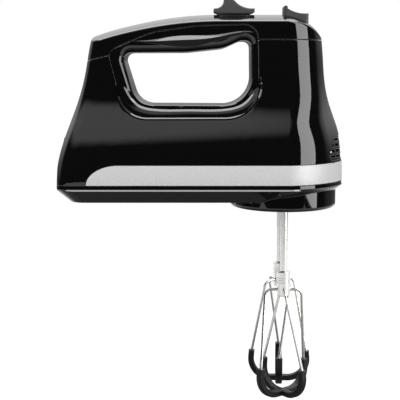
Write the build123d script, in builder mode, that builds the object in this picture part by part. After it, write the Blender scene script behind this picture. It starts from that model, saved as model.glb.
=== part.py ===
from build123d import *
import math
import os

# Hand mixer, millimetres. Origin at the middle of the grip, +X to the nose, +Z up.
# The two beaters hang below the nose and the finger opening lies under the grip.

# Body shell
wall = 2.6
seam = 0.4
rim_wall = 4.2
rim_round = 6.0
top_round = 2.0
crown_half = 20.0
crown_drop = 4.2
crown_reach = 32.0
grip_top = 14.2
heel_plane = -85.3
housing_bottom = -104.3
lip_height = -107.2
pan_bottom = -117.2
pan_wall = 2.5

# Height, rear end, nose end and half width of the body at each level
stations = [
    (20.0, -59.5, 100.6, 19.5),
    (-4.0, -62.6, 102.0, 21.3),
    (-22.0, -66.0, 103.5, 22.0),
    (-38.0, -69.6, 105.3, 22.6),
    (-50.0, -73.2, 108.3, 25.8),
    (-62.0, -77.2, 112.6, 32.6),
    (-76.0, -81.8, 116.4, 40.0),
    (-90.0, -85.2, 117.6, 43.6),
    (-106.0, -87.6, 118.0, 44.2),
]
nose_base = 12.0
nose_per_width = 0.72
nose_fullness = 0.45
corner_base = 4.5
corner_per_width = 0.2

# Top line of the grip, from the rear to the flat, and the arc over the nose
top_line = [(-80.0, -9.2), (-57.6, 0.1), (-35.9, 6.2), (-10.0, 11.3), (15.8, 13.9), (38.0, 14.2)]
top_rear_slope = 0.42
shoulder_start = 73.0
shoulder_radius = 33.0

# Finger opening and the outer line of the grip ring, as corners with their radii
opening_corners = [
    (-40.6, -12.9), (-29.6, -49.2), (51.0, -49.7), (50.2, -4.6), (42.5, -4.6), (31.0, -9.9), (5.0, -12.7),
]
opening_radii = (5.0, 14.0, 20.0, 4.5, 5.0, 22.0, 60.0)
ring_corners = [
    (-50.2, -11.8), (-37.5, -58.9), (56.5, -58.7), (55.2, 6.8), (12.0, 5.6), (-20.0, 1.2),
]
ring_radii = (7.0, 20.0, 24.0, 10.0, 60.0, 60.0)
rear_seam = [(-100.0, -26.6), (-45.0, -13.7)]

# Full round on the lower edge of the opening: its centre line on one side, its radius and its step in
sill_line = [
    (-45.4, 12.3, -30.6), (-41.7, 15.2, -42.1), (-31.0, 19.6, -55.4), (-17.0, 21.5, -58.9),
    (8.0, 21.6, -59.1), (30.0, 21.5, -59.0), (45.8, 20.0, -55.2), (56.5, 15.8, -44.4),
    (60.4, 12.6, -30.0),
]
sill_radius = 9.4
sill_step = 0.15

# Ridge on both sides of the grip: place along it, height of its upper crease, how far it stands out
ridge_line = [
    (-33.0, -4.6, 0.15), (-22.0, -3.6, 1.0), (-5.0, -0.6, 2.7), (12.0, 0.2, 2.8),
    (25.0, 0.5, 2.0), (37.0, 2.3, 1.5), (46.0, 3.0, 1.1), (53.0, 1.6, 0.15),
]
ridge_root = 20.4
ridge_surface = 21.2
ridge_drop = 1.45
ridge_foot = 3.2
front_seam_height = -3.7

# Trim band
band_top = -90.2
band_bottom = -103.8
band_rear = -64.2
band_end = 22.0
band_depth = 1.3
band_proud = 0.35
band_gap = 0.15

# Nose vents
vent_bottom = -88.4
vent_top = -71.6
vent_half_bottom = 30.0
vent_half_top = 17.0
vent_corner = 4.0
vent_sunk = 0.5
vent_gap = 0.2
vent_rows = 4
vent_columns = 8
vent_pitch = 4.1
vent_slot = 2.5
vent_column = 8.6
vent_rib = 1.3
vent_margin = 1.6

# Beater axes and gear boss
beater_x = 75.2
beater_spacing = 34.0
boss_radius = 38.5
boss_bottom = -123.6
boss_floor = 2.4
boss_round = 2.5
notch_x = 50.0
notch_height = -119.4
notch_size = 2.2

# Worm drive
motor_height = -84.0
gear_module = 1.0
gear_teeth = 26
worm_starts = 2
gear_width = 8.0
worm_length = 26.0
backlash = 0.2
pressure_angle = 20.0
tooth_tip = 0.95
tooth_root = 1.2

# Spindles
spindle_radius = 5.5
spindle_bore = 2.72
spindle_top = -68.0
spindle_recess = 0.8
running_gap = 0.06
bush_wall = 2.0
bush_length = 8.0
key_slot = 1.9
key_slot_top = -106.0
clip_radius = 8.0
clip_thick = 0.8

# Gearbox frame
frame_top = -69.5
frame_plate = 3.0
frame_rear = 47.0
frame_front = 109.8
frame_half = 30.0
frame_post_x = 54.0
frame_post_y = 24.0
frame_nose_x = 105.6
frame_post_radius = 3.5
screw_radius = 1.4
screw_head_radius = 2.8
screw_head = 1.8

# Motor
shaft_radius = 3.0
shaft_rear = -72.0
shaft_tip_radius = 1.6
shaft_tip = 99.0
bearing_radius = 8.0
bearing_width = 6.0
tip_bearing_radius = 5.0
tip_bearing_width = 4.0
rear_bearing_x = -70.0
front_bearing_x = 47.0
tip_bearing_x = 95.0
tip_wall_half = 9.0
core_rear = -40.0
core_length = 28.0
core_half_y = 24.0
core_half_z = 22.0
core_round = 4.0
rotor_radius = 14.9
air_gap = 0.4
coil_y = 19.0
coil_thick = 4.4
coil_inner = 5.5
coil_width = 6.5
coil_overhang = 4.6
coil_gap = 0.3
winding_length = 7.0
winding_radius = 13.0
commutator_rear = -60.0
commutator_length = 10.0
commutator_radius = 9.0
commutator_bars = 12
commutator_groove = 0.7
fan_x = 3.0
fan_length = 11.0
fan_radius = 21.0
fan_hub = 7.0
fan_disc = 1.5
fan_blades = 9
fan_blade = 1.4

# Brushes
brush_size = 5.0
brush_length = 9.0
brush_gap = 0.05
holder_wall = 1.0
holder_length = 14.5
holder_cap = 1.0
brush_spring_radius = 1.9
bracket_half = 14.0
bracket_arm = 2.5
bracket_top = -62.0
tie_rod_radius = 1.6
tie_rod_offset = 18.6
cradle_half = 19.0
cradle_thick = 3.0
seat_gap = 0.2
fit_gap = 0.03

# Speed slide
knob_rear = 24.2
knob_front = 53.2
knob_peak_rear = 31.4
knob_peak_front = 38.0
knob_peak = 25.0
knob_wing_top = 18.6
knob_wing_bottom = 15.8
knob_sag = 1.7
knob_gap = 0.4
knob_base_inset = 3.0
knob_half = 9.5
knob_round = 1.0
stem_rear = 27.5
stem_length = 6.0
stem_half = 4.0
stem_gap = 0.5
slide_travel = 18.0
shield_top = 8.4
shield_thick = 1.6
shield_rear = -2.0
shield_half = 7.5
switch_rear = 8.0
switch_length = 42.0
switch_half = 8.0
switch_bottom = 1.0
switch_height = 3.9
switch_plate = 1.0
switch_plate_half = 17.8
scoop_depth = 2.6
scoop_half = 14.2
scoop_inner = 10.6

# Ejector
button_rear = 74.0
button_front = 91.6
button_half = 9.0
button_gap = 0.4
button_round = 2.2
button_bottom = -6.0
button_flange = 2.5
button_lip = 2.4
bead_top = 20.4
bead_width = 2.6
button_rear_top = 18.4
button_front_top = 15.0
button_sag = 1.4
rod_x = 80.0
rod_radius = 3.0
rod_gap = 0.3
guide_top = -30.0
guide_thick = 3.0
guide_rear = 57.0
spring_radius = 5.4
spring_wire = 0.6
spring_turns = 6
yoke_bottom = -54.0
yoke_thick = 4.0
yoke_half = 21.0
yoke_width = 10.4
pin_radius = 2.65
pin_head_radius = 4.0
pin_head = 3.0
press_gap = 0.1

# Beaters
shaft_top = -92.0
beater_shaft_radius = 2.65
key_bottom = -116.0
key_top = -109.0
key_reach = 4.4
key_thick = 1.4
hub_top = -169.7
hub_bottom = -187.8
hub_radius = 4.9
hub_groove = 0.5
hub_groove_pitch = 1.7
hub_groove_first = -174.0
hub_grooves = 3
hub_floor = 1.2
wire_radius = 1.05
wire_exit = -183.2
wire_start = 3.0
wire_shoulder = 13.2
wire_foot = 22.6
wire_bottom = -260.8
shoulder_bend = 5.0
leg_bend = 12.0
foot_bend = 15.0
leg_turn = 37.0
boot_top = -239.4
boot_reach = 20.9
boot_width = 5.2
boot_depth = 4.8
boot_round = 1.3
boot_step = 0.3
near_angle = 37.3
far_angle = 86.0

# Fasteners, gland and board
post_radius = 4.5
post_top = -59.0
rear_post_x = -66.0
rear_post_y = 25.0
front_post_x = 42.0
front_post_y = 28.0
housing_screw_radius = 1.8
housing_head_radius = 3.4
housing_head = 2.2
screw_bite = 14.0
screw_gap = 0.1
gland_x = -82.6
gland_height = -81.0
gland_radius = 6.0
gland_flange_radius = 7.6
gland_flange = 2.0
gland_bore = 3.2
gland_length = 6.0
board_x = 60.0
board_thick = 1.6
board_half = 14.0
board_height = 22.0
board_part = 2.6
lead_radius = 1.3
lead_run = 2.2
lead_way = [(-70.8, -56.0), (-56.0, -24.0), (-44.0, -5.5), (-20.0, -1.0)]
lead_bends = (1.6, 14.0, 12.0, 14.0, 40.0)

# Worked out from the values above
near_y = -beater_spacing / 2
far_y = beater_spacing / 2
wheel_radius = gear_module * gear_teeth / 2
worm_radius = beater_spacing / 2 - wheel_radius
worm_lead = worm_starts * math.pi * gear_module
worm_slope = worm_lead / (2 * math.pi * worm_radius)
boss_inside = boss_radius - pan_wall
boss_floor_top = boss_bottom + boss_floor
pan_floor_top = pan_bottom + pan_wall
pan_drop = lip_height - pan_bottom
core_front = core_rear + core_length
spindle_bottom = boss_bottom + spindle_recess
bush_radius = spindle_radius + running_gap + bush_wall
far_reach = 150.0
heel_block = (far_reach, 2 * far_reach, 4 * far_reach)


def border(faces):
    """Edges that belong to only one of the faces."""
    edges = [edge for face in faces for edge in face.edges()]
    return [edge for edge in edges if edges.count(edge) == 1]


def plan_face(height, rear, front, half, inset):
    """Plan outline of the body: square heel with round corners and a long round nose."""
    rear = rear + inset
    front = front - inset
    half = half - inset
    nose = nose_base + nose_per_width * half
    corner = corner_base + corner_per_width * half
    with BuildSketch(Plane.XY.offset(height)) as plan:
        with BuildLine():
            Line((rear, -half + corner), (rear, half - corner))
            RadiusArc((rear, half - corner), (rear + corner, half), corner)
            Line((rear + corner, half), (front - nose, half))
            Bezier(
                (front - nose, half),
                (front - nose + nose_fullness * nose, half),
                (front, nose_fullness * half),
                (front, 0),
            )
            Bezier(
                (front, 0),
                (front, -nose_fullness * half),
                (front - nose + nose_fullness * nose, -half),
                (front - nose, -half),
            )
            Line((front - nose, -half), (rear + corner, -half))
            RadiusArc((rear + corner, -half), (rear, -half + corner), corner)
        make_face()
    return plan.sketch


def above_top_face(y, inset):
    """Everything above the top line of the body at one distance from the middle plane."""
    drop = inset + crown_drop * (y / crown_half) ** 2
    points = [(x, z - drop) for x, z in top_line]
    radius = shoulder_radius - drop
    centre_z = grip_top - shoulder_radius
    with BuildSketch(Plane.XZ.offset(-y)) as above:
        with BuildLine():
            Spline(*points, tangents=[(1, top_rear_slope), (1, 0)])
            Line(points[-1], (shoulder_start, grip_top - drop))
            CenterArc((shoulder_start, centre_z), radius, 0, 90)
            Polyline(
                (shoulder_start + radius, centre_z),
                (far_reach, centre_z),
                (far_reach, far_reach),
                (points[0][0], far_reach),
                points[0],
            )
        make_face()
    return above.sketch


def opening_face(grow):
    """Finger opening seen from the side, widened by a wall."""
    with BuildSketch(Plane.XZ) as opening:
        with BuildLine():
            FilletPolyline(*opening_corners, radius=opening_radii, close=True)
        make_face()
        if grow:
            offset(amount=grow)
    return opening.sketch


def ring_face(grow):
    """Outer line of the grip ring seen from the side."""
    with BuildSketch(Plane.XZ) as ring:
        with BuildLine():
            FilletPolyline(*ring_corners, radius=ring_radii, close=True)
        make_face()
        offset(amount=grow)
    return ring.sketch


def cover_face(gap):
    """Region above the cover's seams, seen from the side."""
    rear_low, rear_high = rear_seam
    with BuildSketch(Plane.XZ) as cover:
        with BuildLine():
            Polyline(
                (rear_low[0], rear_low[1] + gap),
                (rear_high[0], rear_high[1] + gap),
                (ring_corners[3][0] - rim_round, front_seam_height + gap),
                (far_reach, front_seam_height + gap),
                (far_reach, far_reach),
                (rear_low[0], far_reach),
                close=True,
            )
        make_face()
    return cover.sketch


def band_face(gap):
    """Band seen from the side, with its rear end rounded up to the top edge."""
    low = band_bottom - gap
    high = band_top + gap
    rear = band_rear - gap
    with BuildSketch(Plane.XZ) as band:
        with BuildLine():
            EllipticalCenterArc((rear + band_end, low), band_end, high - low, start_angle=90, arc_size=90)
            Polyline((rear + band_end, high), (far_reach, high), (far_reach, low), (rear, low))
        make_face()
    return band.sketch


def vent_face(grow):
    """Vent field seen from the nose."""
    with BuildSketch(Plane.YZ.offset(beater_x)) as vents:
        with BuildLine():
            FilletPolyline(
                (-vent_half_bottom, vent_bottom),
                (vent_half_bottom, vent_bottom),
                (vent_half_top, vent_top),
                (-vent_half_top, vent_top),
                radius=vent_corner,
                close=True,
            )
        make_face()
        if grow:
            offset(amount=grow)
    return vents.sketch


def make_hull(inset):
    """Body form before the top is cut, drawn in by an inset."""
    levels = [plan_face(height, rear, front, half, inset) for height, rear, front, half in stations]
    with BuildPart() as hull:
        loft(levels)
        with Locations((heel_plane + inset, 0, 0)):
            Box(*heel_block, align=(Align.MAX, Align.CENTER, Align.CENTER), mode=Mode.SUBTRACT)
    return hull.part


def make_form(inset, edge_round, opening_grow):
    """Body form with its crowned top, rounded top edges and finger opening."""
    hull = make_hull(inset)
    levels = [above_top_face(crown_reach * step / 2, inset) for step in range(-2, 3)]
    opening = opening_face(opening_grow)
    with BuildPart() as crown:
        loft(levels)
    with BuildPart() as form:
        add(hull)
        add(crown.part, mode=Mode.SUBTRACT)
        if edge_round:
            tops = [face for face in form.faces() if face.normal_at().Z > 0.3 and face.center().Z > 0]
            fillet(border(tops), edge_round)
        extrude(opening, amount=far_reach, both=True, mode=Mode.SUBTRACT)
    return form.part


# Shell that all upper casings are cut from
outer_form = make_form(0, top_round, 0)
inner_form = make_form(wall, 0, rim_wall)
band_seat = make_hull(band_depth + band_gap)
band_inner = make_hull(band_depth)
band_outer = make_hull(-band_proud)

with BuildPart() as shell:
    add(outer_form)
    opening_low = min(z for x, z in opening_corners)
    opening_high = max(z for x, z in opening_corners)
    rim_faces = [
        face
        for face in shell.faces()
        if abs(face.center().Y) < wall
        and opening_corners[0][0] - wall < face.center().X < opening_corners[2][0] + wall
        and opening_low - wall < face.center().Z < opening_high + wall
    ]
    fillet(border(rim_faces), rim_round)
    add(inner_form, mode=Mode.SUBTRACT)


def ridge_face(x, height, proud, side):
    """Cross-section of the grip's ridge: a sloping upper face and a longer one under it."""
    with BuildSketch(Plane.YZ.offset(x)) as section:
        with BuildLine():
            Polyline(
                (side * ridge_root, height),
                (side * (ridge_surface + proud), height - ridge_drop * proud),
                (side * ridge_root, height - ridge_foot * proud),
                close=True,
            )
        make_face()
    return section.sketch


# Round sills along the lower edge of the opening
with BuildPart() as sills:
    for side in (-1, 1):
        with BuildLine():
            sill_path = Spline(*[(x, side * y, z) for x, y, z in sill_line])
        with BuildSketch(Plane(sill_path @ 0, z_dir=sill_path % 0)):
            Circle(sill_radius)
        sweep(path=sill_path)
    extrude(ring_face(-seam / 2), amount=far_reach, both=True, mode=Mode.INTERSECT)
    extrude(opening_face(sill_step), amount=far_reach, both=True, mode=Mode.SUBTRACT)
    add(inner_form, mode=Mode.SUBTRACT)

# Grip ring round the finger opening, with its sills and a ridge on each side
with BuildPart() as grip_ring:
    add(shell.part)
    extrude(ring_face(-seam / 2), amount=far_reach, both=True, mode=Mode.INTERSECT)
    add(sills.part)
    for side in (-1, 1):
        loft([ridge_face(x, height, proud, side) for x, height, proud in ridge_line])

with BuildPart() as outside_ring:
    add(shell.part)
    extrude(ring_face(seam / 2), amount=far_reach, both=True, mode=Mode.SUBTRACT)

# Handle cover with the speed slot, the side scoops under the knob and the ejector hole
slot_length = stem_length + slide_travel + 2 * stem_gap
scoop_radius = (scoop_half**2 + scoop_depth**2) / (2 * scoop_depth)
scoop_x = (knob_rear + knob_front) / 2
button_x = (button_rear + button_front) / 2
with BuildPart() as handle_cover:
    add(outside_ring.part)
    extrude(cover_face(seam / 2), amount=far_reach, both=True, mode=Mode.INTERSECT)
    with BuildSketch(Plane.XY):
        with Locations((stem_rear - stem_gap + slot_length / 2, 0)):
            Rectangle(slot_length, 2 * (stem_half + stem_gap))
        with Locations((button_x, 0)):
            RectangleRounded(
                button_front - button_rear + 2 * button_gap,
                2 * (button_half + button_gap),
                button_round + button_gap,
            )
    extrude(amount=far_reach, mode=Mode.SUBTRACT)
    for side in (-1, 1):
        with BuildSketch(Plane.XZ.offset(side * scoop_inner)):
            with Locations((scoop_x, grip_top - scoop_depth + scoop_radius)):
                Circle(scoop_radius)
        extrude(amount=side * far_reach, mode=Mode.SUBTRACT)

# Screw posts hang inside the main housing
post_places = [
    (x, side * y)
    for x, y in ((rear_post_x, rear_post_y), (front_post_x, front_post_y))
    for side in (-1, 1)
]
with BuildPart() as posts:
    with BuildSketch(Plane.XY.offset(housing_bottom)):
        with Locations(*post_places):
            Circle(post_radius)
    extrude(amount=post_top - housing_bottom)
    add(outer_form, mode=Mode.INTERSECT)

# Main housing with the band seat, the vent window, the gland hole and the posts
with BuildPart() as band_cut:
    extrude(band_face(band_gap), amount=far_reach, both=True)
    add(band_seat, mode=Mode.SUBTRACT)

with BuildPart() as main_housing:
    add(outside_ring.part)
    extrude(cover_face(-seam / 2), amount=far_reach, both=True, mode=Mode.SUBTRACT)
    split(bisect_by=Plane.XY.offset(housing_bottom), keep=Keep.TOP)
    add(posts.part)
    add(band_cut.part, mode=Mode.SUBTRACT)
    extrude(vent_face(vent_gap), amount=far_reach, mode=Mode.SUBTRACT)
    with BuildSketch(Plane.YZ.offset(gland_x)):
        with Locations((0, gland_height)):
            Circle(gland_flange_radius + seat_gap)
    extrude(amount=-far_reach, mode=Mode.SUBTRACT)
    with BuildSketch(Plane.YZ.offset(gland_x)):
        with Locations((0, gland_height)):
            Circle(gland_radius + fit_gap)
    extrude(amount=gland_length, mode=Mode.SUBTRACT)
    with BuildSketch(Plane.XY.offset(housing_bottom)):
        with Locations(*post_places):
            Circle(housing_screw_radius + screw_gap)
    extrude(amount=screw_bite, mode=Mode.SUBTRACT)

# Trim band
with BuildPart() as trim_band:
    add(band_outer)
    extrude(band_face(0), amount=far_reach, both=True, mode=Mode.INTERSECT)
    add(band_inner, mode=Mode.SUBTRACT)

# Vent grille: slotted insert, a little below the nose's surface
vent_outer = make_hull(vent_sunk)
vent_inner = make_hull(wall)
vent_middle = (vent_bottom + vent_top) / 2
with BuildPart() as vent_slots:
    with BuildSketch(Plane.YZ.offset(beater_x)):
        with Locations((0, vent_middle)):
            with GridLocations(vent_column, vent_pitch, vent_columns, vent_rows):
                Rectangle(vent_column - vent_rib, vent_slot)
    extrude(amount=far_reach)
    extrude(vent_face(-vent_margin), amount=far_reach, mode=Mode.INTERSECT)

with BuildPart() as vent_grille:
    add(vent_outer)
    add(vent_inner, mode=Mode.SUBTRACT)
    extrude(vent_face(0), amount=far_reach, mode=Mode.INTERSECT)
    add(vent_slots.part, mode=Mode.SUBTRACT)

# Bottom housing: chamfered pan with the round gear boss
pan_rear, pan_front, pan_half = stations[-1][1:]
gear_posts = [(frame_post_x, -frame_post_y), (frame_post_x, frame_post_y), (frame_nose_x, 0)]
spindle_places = [(beater_x, near_y), (beater_x, far_y)]


def pan_form(top, floor, inset, floor_inset):
    """Pan between two heights: straight sides to the lip, then a sloping chamfer to the floor."""
    lip = plan_face(lip_height, pan_rear, pan_front, pan_half, inset)
    low = plan_face(floor, pan_rear, pan_front, pan_half, floor_inset)
    with BuildPart() as pan:
        extrude(lip, amount=top - lip_height)
        loft([lip, low], ruled=True)
        with Locations((heel_plane + inset, 0, 0)):
            Box(*heel_block, align=(Align.MAX, Align.CENTER, Align.CENTER), mode=Mode.SUBTRACT)
    return pan.part


pan_outside = pan_form(housing_bottom, pan_bottom, 0, pan_drop)
pan_inside = pan_form(housing_bottom, pan_floor_top, pan_wall, pan_drop)
notch_y = -math.sqrt(boss_radius**2 - (notch_x - beater_x) ** 2)
notch_out = (notch_x - beater_x, notch_y, 0)
notch_along = (-notch_y, notch_x - beater_x, 0)
notch_plane = Plane((notch_x, notch_y, notch_height), x_dir=notch_along, z_dir=notch_out)
bush_low = boss_bottom + spindle_recess / 2
frame_under = frame_top - frame_plate
with BuildPart() as bottom_housing:
    add(pan_outside)
    with Locations((beater_x, 0, boss_bottom)):
        Cylinder(boss_radius, lip_height - boss_bottom, align=(Align.CENTER, Align.CENTER, Align.MIN))
    fillet(bottom_housing.edges().group_by(Axis.Z)[0], boss_round)
    add(pan_inside, mode=Mode.SUBTRACT)
    with BuildSketch(Plane.XY.offset(boss_floor_top)):
        with Locations((beater_x, 0)):
            Circle(boss_inside)
    extrude(amount=lip_height - boss_floor_top, mode=Mode.SUBTRACT)
    with BuildSketch(Plane.XY.offset(boss_floor_top)):
        with Locations(*gear_posts):
            Circle(frame_post_radius)
    extrude(amount=frame_under - boss_floor_top)
    with BuildSketch(Plane.XY.offset(boss_floor_top)):
        with Locations(*spindle_places):
            Circle(bush_radius + bush_wall)
    extrude(amount=bush_low + bush_length - boss_floor_top)
    with BuildSketch(Plane.XY.offset(pan_floor_top)):
        with Locations(*post_places):
            Circle(post_radius)
        with Locations((core_rear + cradle_thick, 0), (core_front - cradle_thick, 0)):
            Rectangle(cradle_thick, 2 * cradle_half)
    extrude(amount=motor_height - core_half_z - pan_floor_top)
    with BuildSketch(Plane.XY.offset(motor_height - core_half_z)):
        with Locations(*post_places):
            Circle(post_radius)
    extrude(amount=housing_bottom - motor_height + core_half_z)
    with BuildSketch(Plane.XY.offset(boss_bottom)):
        with Locations(*spindle_places):
            Circle(bush_radius + fit_gap)
    extrude(amount=far_reach, mode=Mode.SUBTRACT)
    with BuildSketch(Plane.XY.offset(frame_under)):
        with Locations(*gear_posts):
            Circle(screw_radius + screw_gap)
    extrude(amount=-screw_bite, mode=Mode.SUBTRACT)
    with BuildSketch(Plane.XY.offset(pan_bottom)):
        with Locations(*post_places):
            Circle(housing_screw_radius + screw_gap)
    extrude(amount=far_reach, mode=Mode.SUBTRACT)
    with BuildSketch(Plane.XY.offset(pan_bottom)):
        with Locations(*post_places):
            Circle(housing_head_radius + screw_gap)
    extrude(amount=housing_head + seat_gap, mode=Mode.SUBTRACT)
    with BuildSketch(notch_plane):
        Rectangle(notch_size, notch_size)
    extrude(amount=-pan_wall / 2, mode=Mode.SUBTRACT)

# Screws that hold the two housings together, from below
with BuildPart() as housing_screws:
    with BuildSketch(Plane.XY.offset(pan_bottom + seat_gap)):
        with Locations(*post_places):
            Circle(housing_head_radius)
            RegularPolygon(housing_head_radius / 2, 6, mode=Mode.SUBTRACT)
    extrude(amount=housing_head / 2)
    with BuildSketch(Plane.XY.offset(pan_bottom + seat_gap + housing_head / 2)):
        with Locations(*post_places):
            Circle(housing_head_radius)
    extrude(amount=housing_head / 2)
    with BuildSketch(Plane.XY.offset(pan_bottom + seat_gap + housing_head)):
        with Locations(*post_places):
            Circle(housing_screw_radius)
    extrude(amount=housing_bottom + screw_bite - pan_bottom - 2 * housing_head)

# Cord gland in the back wall
with BuildPart() as cord_gland:
    with BuildSketch(Plane.YZ.offset(gland_x)):
        with Locations((0, gland_height)):
            Circle(gland_flange_radius)
    extrude(amount=-gland_flange)
    with BuildSketch(Plane.YZ.offset(gland_x)):
        with Locations((0, gland_height)):
            Circle(gland_radius)
    extrude(amount=gland_length)
    fillet(cord_gland.edges().group_by(Axis.X)[0], gland_flange / 2)
    with BuildSketch(Plane.YZ.offset(gland_x - gland_flange)):
        with Locations((0, gland_height)):
            Circle(gland_bore)
    extrude(amount=gland_length + gland_flange, mode=Mode.SUBTRACT)

# Speed knob: a thumb slide with a flat peak, hollow flanks and two wings
knob_base = grip_top + knob_gap
rear_flank = ((knob_rear + knob_peak_rear) / 2 + knob_sag, (knob_wing_top + knob_peak) / 2 - knob_sag)
front_flank = ((knob_front + knob_peak_front) / 2 - knob_sag, (knob_wing_top + knob_peak) / 2 - knob_sag)
with BuildPart() as speed_knob:
    with BuildSketch(Plane.XZ):
        with BuildLine():
            ThreePointArc((knob_rear, knob_wing_top), rear_flank, (knob_peak_rear, knob_peak))
            Line((knob_peak_rear, knob_peak), (knob_peak_front, knob_peak))
            ThreePointArc((knob_peak_front, knob_peak), front_flank, (knob_front, knob_wing_top))
            Polyline(
                (knob_front, knob_wing_top),
                (knob_front, knob_wing_bottom),
                (knob_front - knob_base_inset, knob_base),
                (knob_rear + knob_base_inset, knob_base),
                (knob_rear, knob_wing_bottom),
                (knob_rear, knob_wing_top),
            )
        make_face()
    extrude(amount=knob_half, both=True)
    fillet(speed_knob.edges().filter_by(Axis.Y), knob_round / 2)
    fillet(speed_knob.faces().sort_by(Axis.Y)[0].edges(), knob_round)
    fillet(speed_knob.faces().sort_by(Axis.Y)[-1].edges(), knob_round)
    with BuildSketch(Plane.XY.offset(shield_top)):
        with Locations((stem_rear + stem_length / 2, 0)):
            Rectangle(stem_length, 2 * stem_half)
    extrude(amount=knob_base + knob_round - shield_top)

# Shield under the speed slot, with the foot that works the switch
switch_top = switch_bottom + switch_height
shield_length = knob_front - shield_rear
with BuildPart() as slide_shield:
    with BuildSketch(Plane.XY.offset(shield_top)):
        with Locations((shield_rear + shield_length / 2, 0)):
            Rectangle(shield_length, 2 * shield_half)
    extrude(amount=-shield_thick)
    with BuildSketch(Plane.XY.offset(switch_top + seat_gap)):
        with Locations((stem_rear + stem_length / 2, 0)):
            Rectangle(stem_length, 2 * stem_half)
    extrude(amount=shield_top - shield_thick - switch_top - seat_gap)

# Speed switch on its plate inside the grip
with BuildPart() as speed_switch:
    with BuildSketch(Plane.XY.offset(switch_bottom)):
        with Locations((switch_rear + switch_length / 2, 0)):
            Rectangle(switch_length, 2 * switch_plate_half)
    extrude(amount=-switch_plate)
    with BuildSketch(Plane.XY.offset(switch_bottom)):
        with Locations((switch_rear + switch_length / 2, 0)):
            Rectangle(switch_length, 2 * switch_half)
    extrude(amount=switch_height)

# Ejector button: a bead at the rear edge and a hollow top that falls to the nose
bead_radius = bead_width / 2
bead_side = bead_top - bead_radius
bead_front = button_rear + bead_width
hollow = ((bead_front + button_front) / 2, (button_rear_top + button_front_top) / 2 - button_sag)
with BuildPart() as ejector_button:
    with BuildSketch(Plane.XZ):
        with BuildLine():
            ThreePointArc(
                (button_rear, bead_side),
                (button_rear + bead_radius, bead_top),
                (bead_front, bead_side),
            )
            Line((bead_front, bead_side), (bead_front, button_rear_top))
            ThreePointArc((bead_front, button_rear_top), hollow, (button_front, button_front_top))
            Polyline(
                (button_front, button_front_top),
                (button_front, button_bottom),
                (button_rear, button_bottom),
                (button_rear, bead_side),
            )
        make_face()
    extrude(amount=button_half, both=True)
    with BuildSketch(Plane.XY.offset(button_bottom)):
        with Locations((button_x, 0)):
            RectangleRounded(button_front - button_rear, 2 * button_half, button_round)
    extrude(amount=far_reach, mode=Mode.INTERSECT)
    with BuildSketch(Plane.XY.offset(button_bottom)):
        with Locations((button_x, 0)):
            RectangleRounded(
                button_front - button_rear + 2 * button_lip, 2 * (button_half + button_lip), button_round
            )
    extrude(amount=-button_flange)

# Ejector rod and yoke
flange_under = button_bottom - button_flange
yoke_top = yoke_bottom + yoke_thick
with BuildPart() as ejector_yoke:
    with BuildSketch(Plane.XY.offset(yoke_bottom)):
        with Locations((beater_x, 0)):
            Rectangle(yoke_width, 2 * yoke_half)
        with Locations((rod_x, 0)):
            Circle(rod_radius + yoke_thick / 2)
    extrude(amount=yoke_thick)
    with BuildSketch(Plane.XY.offset(yoke_top)):
        with Locations((rod_x, 0)):
            Circle(rod_radius)
    extrude(amount=flange_under - yoke_top)

# Guide plate across the front column, with the rod's hole
guide_form = make_hull(wall + rod_gap)
with BuildPart() as ejector_guide:
    with BuildSketch(Plane.XY.offset(guide_top)):
        with Locations((guide_rear + far_reach / 2, 0)):
            Rectangle(far_reach, far_reach)
    extrude(amount=-guide_thick)
    add(guide_form, mode=Mode.INTERSECT)
    with BuildSketch(Plane.XY.offset(guide_top)):
        with Locations((rod_x, 0)):
            Circle(rod_radius + rod_gap)
    extrude(amount=-guide_thick, mode=Mode.SUBTRACT)

# Return spring between the guide and the button's flange
spring_low = guide_top + spring_wire
spring_height = flange_under - spring_wire - spring_low
with BuildPart() as ejector_spring:
    with BuildLine():
        coil = Helix(
            pitch=spring_height / spring_turns,
            height=spring_height,
            radius=spring_radius,
            center=(rod_x, 0, spring_low),
        )
    with BuildSketch(Plane(coil @ 0, z_dir=coil % 0)):
        Circle(spring_wire)
    sweep(path=coil, is_frenet=True)

# Control board, standing on the guide
with BuildPart() as control_board:
    with BuildSketch(Plane.XY.offset(guide_top)):
        with Locations((board_x, 0)):
            Rectangle(board_thick, 2 * board_half)
    extrude(amount=board_height)
    with BuildSketch(Plane.YZ.offset(board_x + board_thick / 2)):
        with Locations((0, guide_top + board_height / 2)):
            with GridLocations(board_half, 0, 2, 1):
                Rectangle(board_half / 2, board_height / 2)
    extrude(amount=board_part)


def make_pin(y):
    """Ejector pin in the top of one spindle."""
    with BuildPart() as pin:
        with BuildSketch(Plane.XY.offset(shaft_top + press_gap)):
            with Locations((beater_x, y)):
                Circle(pin_radius)
        extrude(amount=yoke_bottom - press_gap - shaft_top - press_gap)
        with BuildSketch(Plane.XY.offset(yoke_bottom - press_gap)):
            with Locations((beater_x, y)):
                Circle(pin_head_radius)
        extrude(amount=-pin_head)
    return pin.part


def make_spindle(y):
    """Hollow spindle that takes the beater's shaft and its key."""
    with BuildPart() as spindle:
        with BuildSketch(Plane.XY.offset(spindle_bottom)):
            with Locations((beater_x, y)):
                Circle(spindle_radius)
                Circle(spindle_bore, mode=Mode.SUBTRACT)
        extrude(amount=spindle_top - spindle_bottom)
        with BuildSketch(Plane.XY.offset(spindle_bottom)):
            with Locations((beater_x, y)):
                Rectangle(2 * (key_reach + running_gap), key_slot)
        extrude(amount=key_slot_top - spindle_bottom, mode=Mode.SUBTRACT)
    return spindle.part


def make_clip(y):
    """Ring on the spindle above the gearbox frame."""
    with BuildPart() as clip:
        with BuildSketch(Plane.XY.offset(frame_top + seat_gap)):
            with Locations((beater_x, y)):
                Circle(clip_radius)
                Circle(spindle_radius + fit_gap, mode=Mode.SUBTRACT)
        extrude(amount=clip_thick)
    return clip.part


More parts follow.
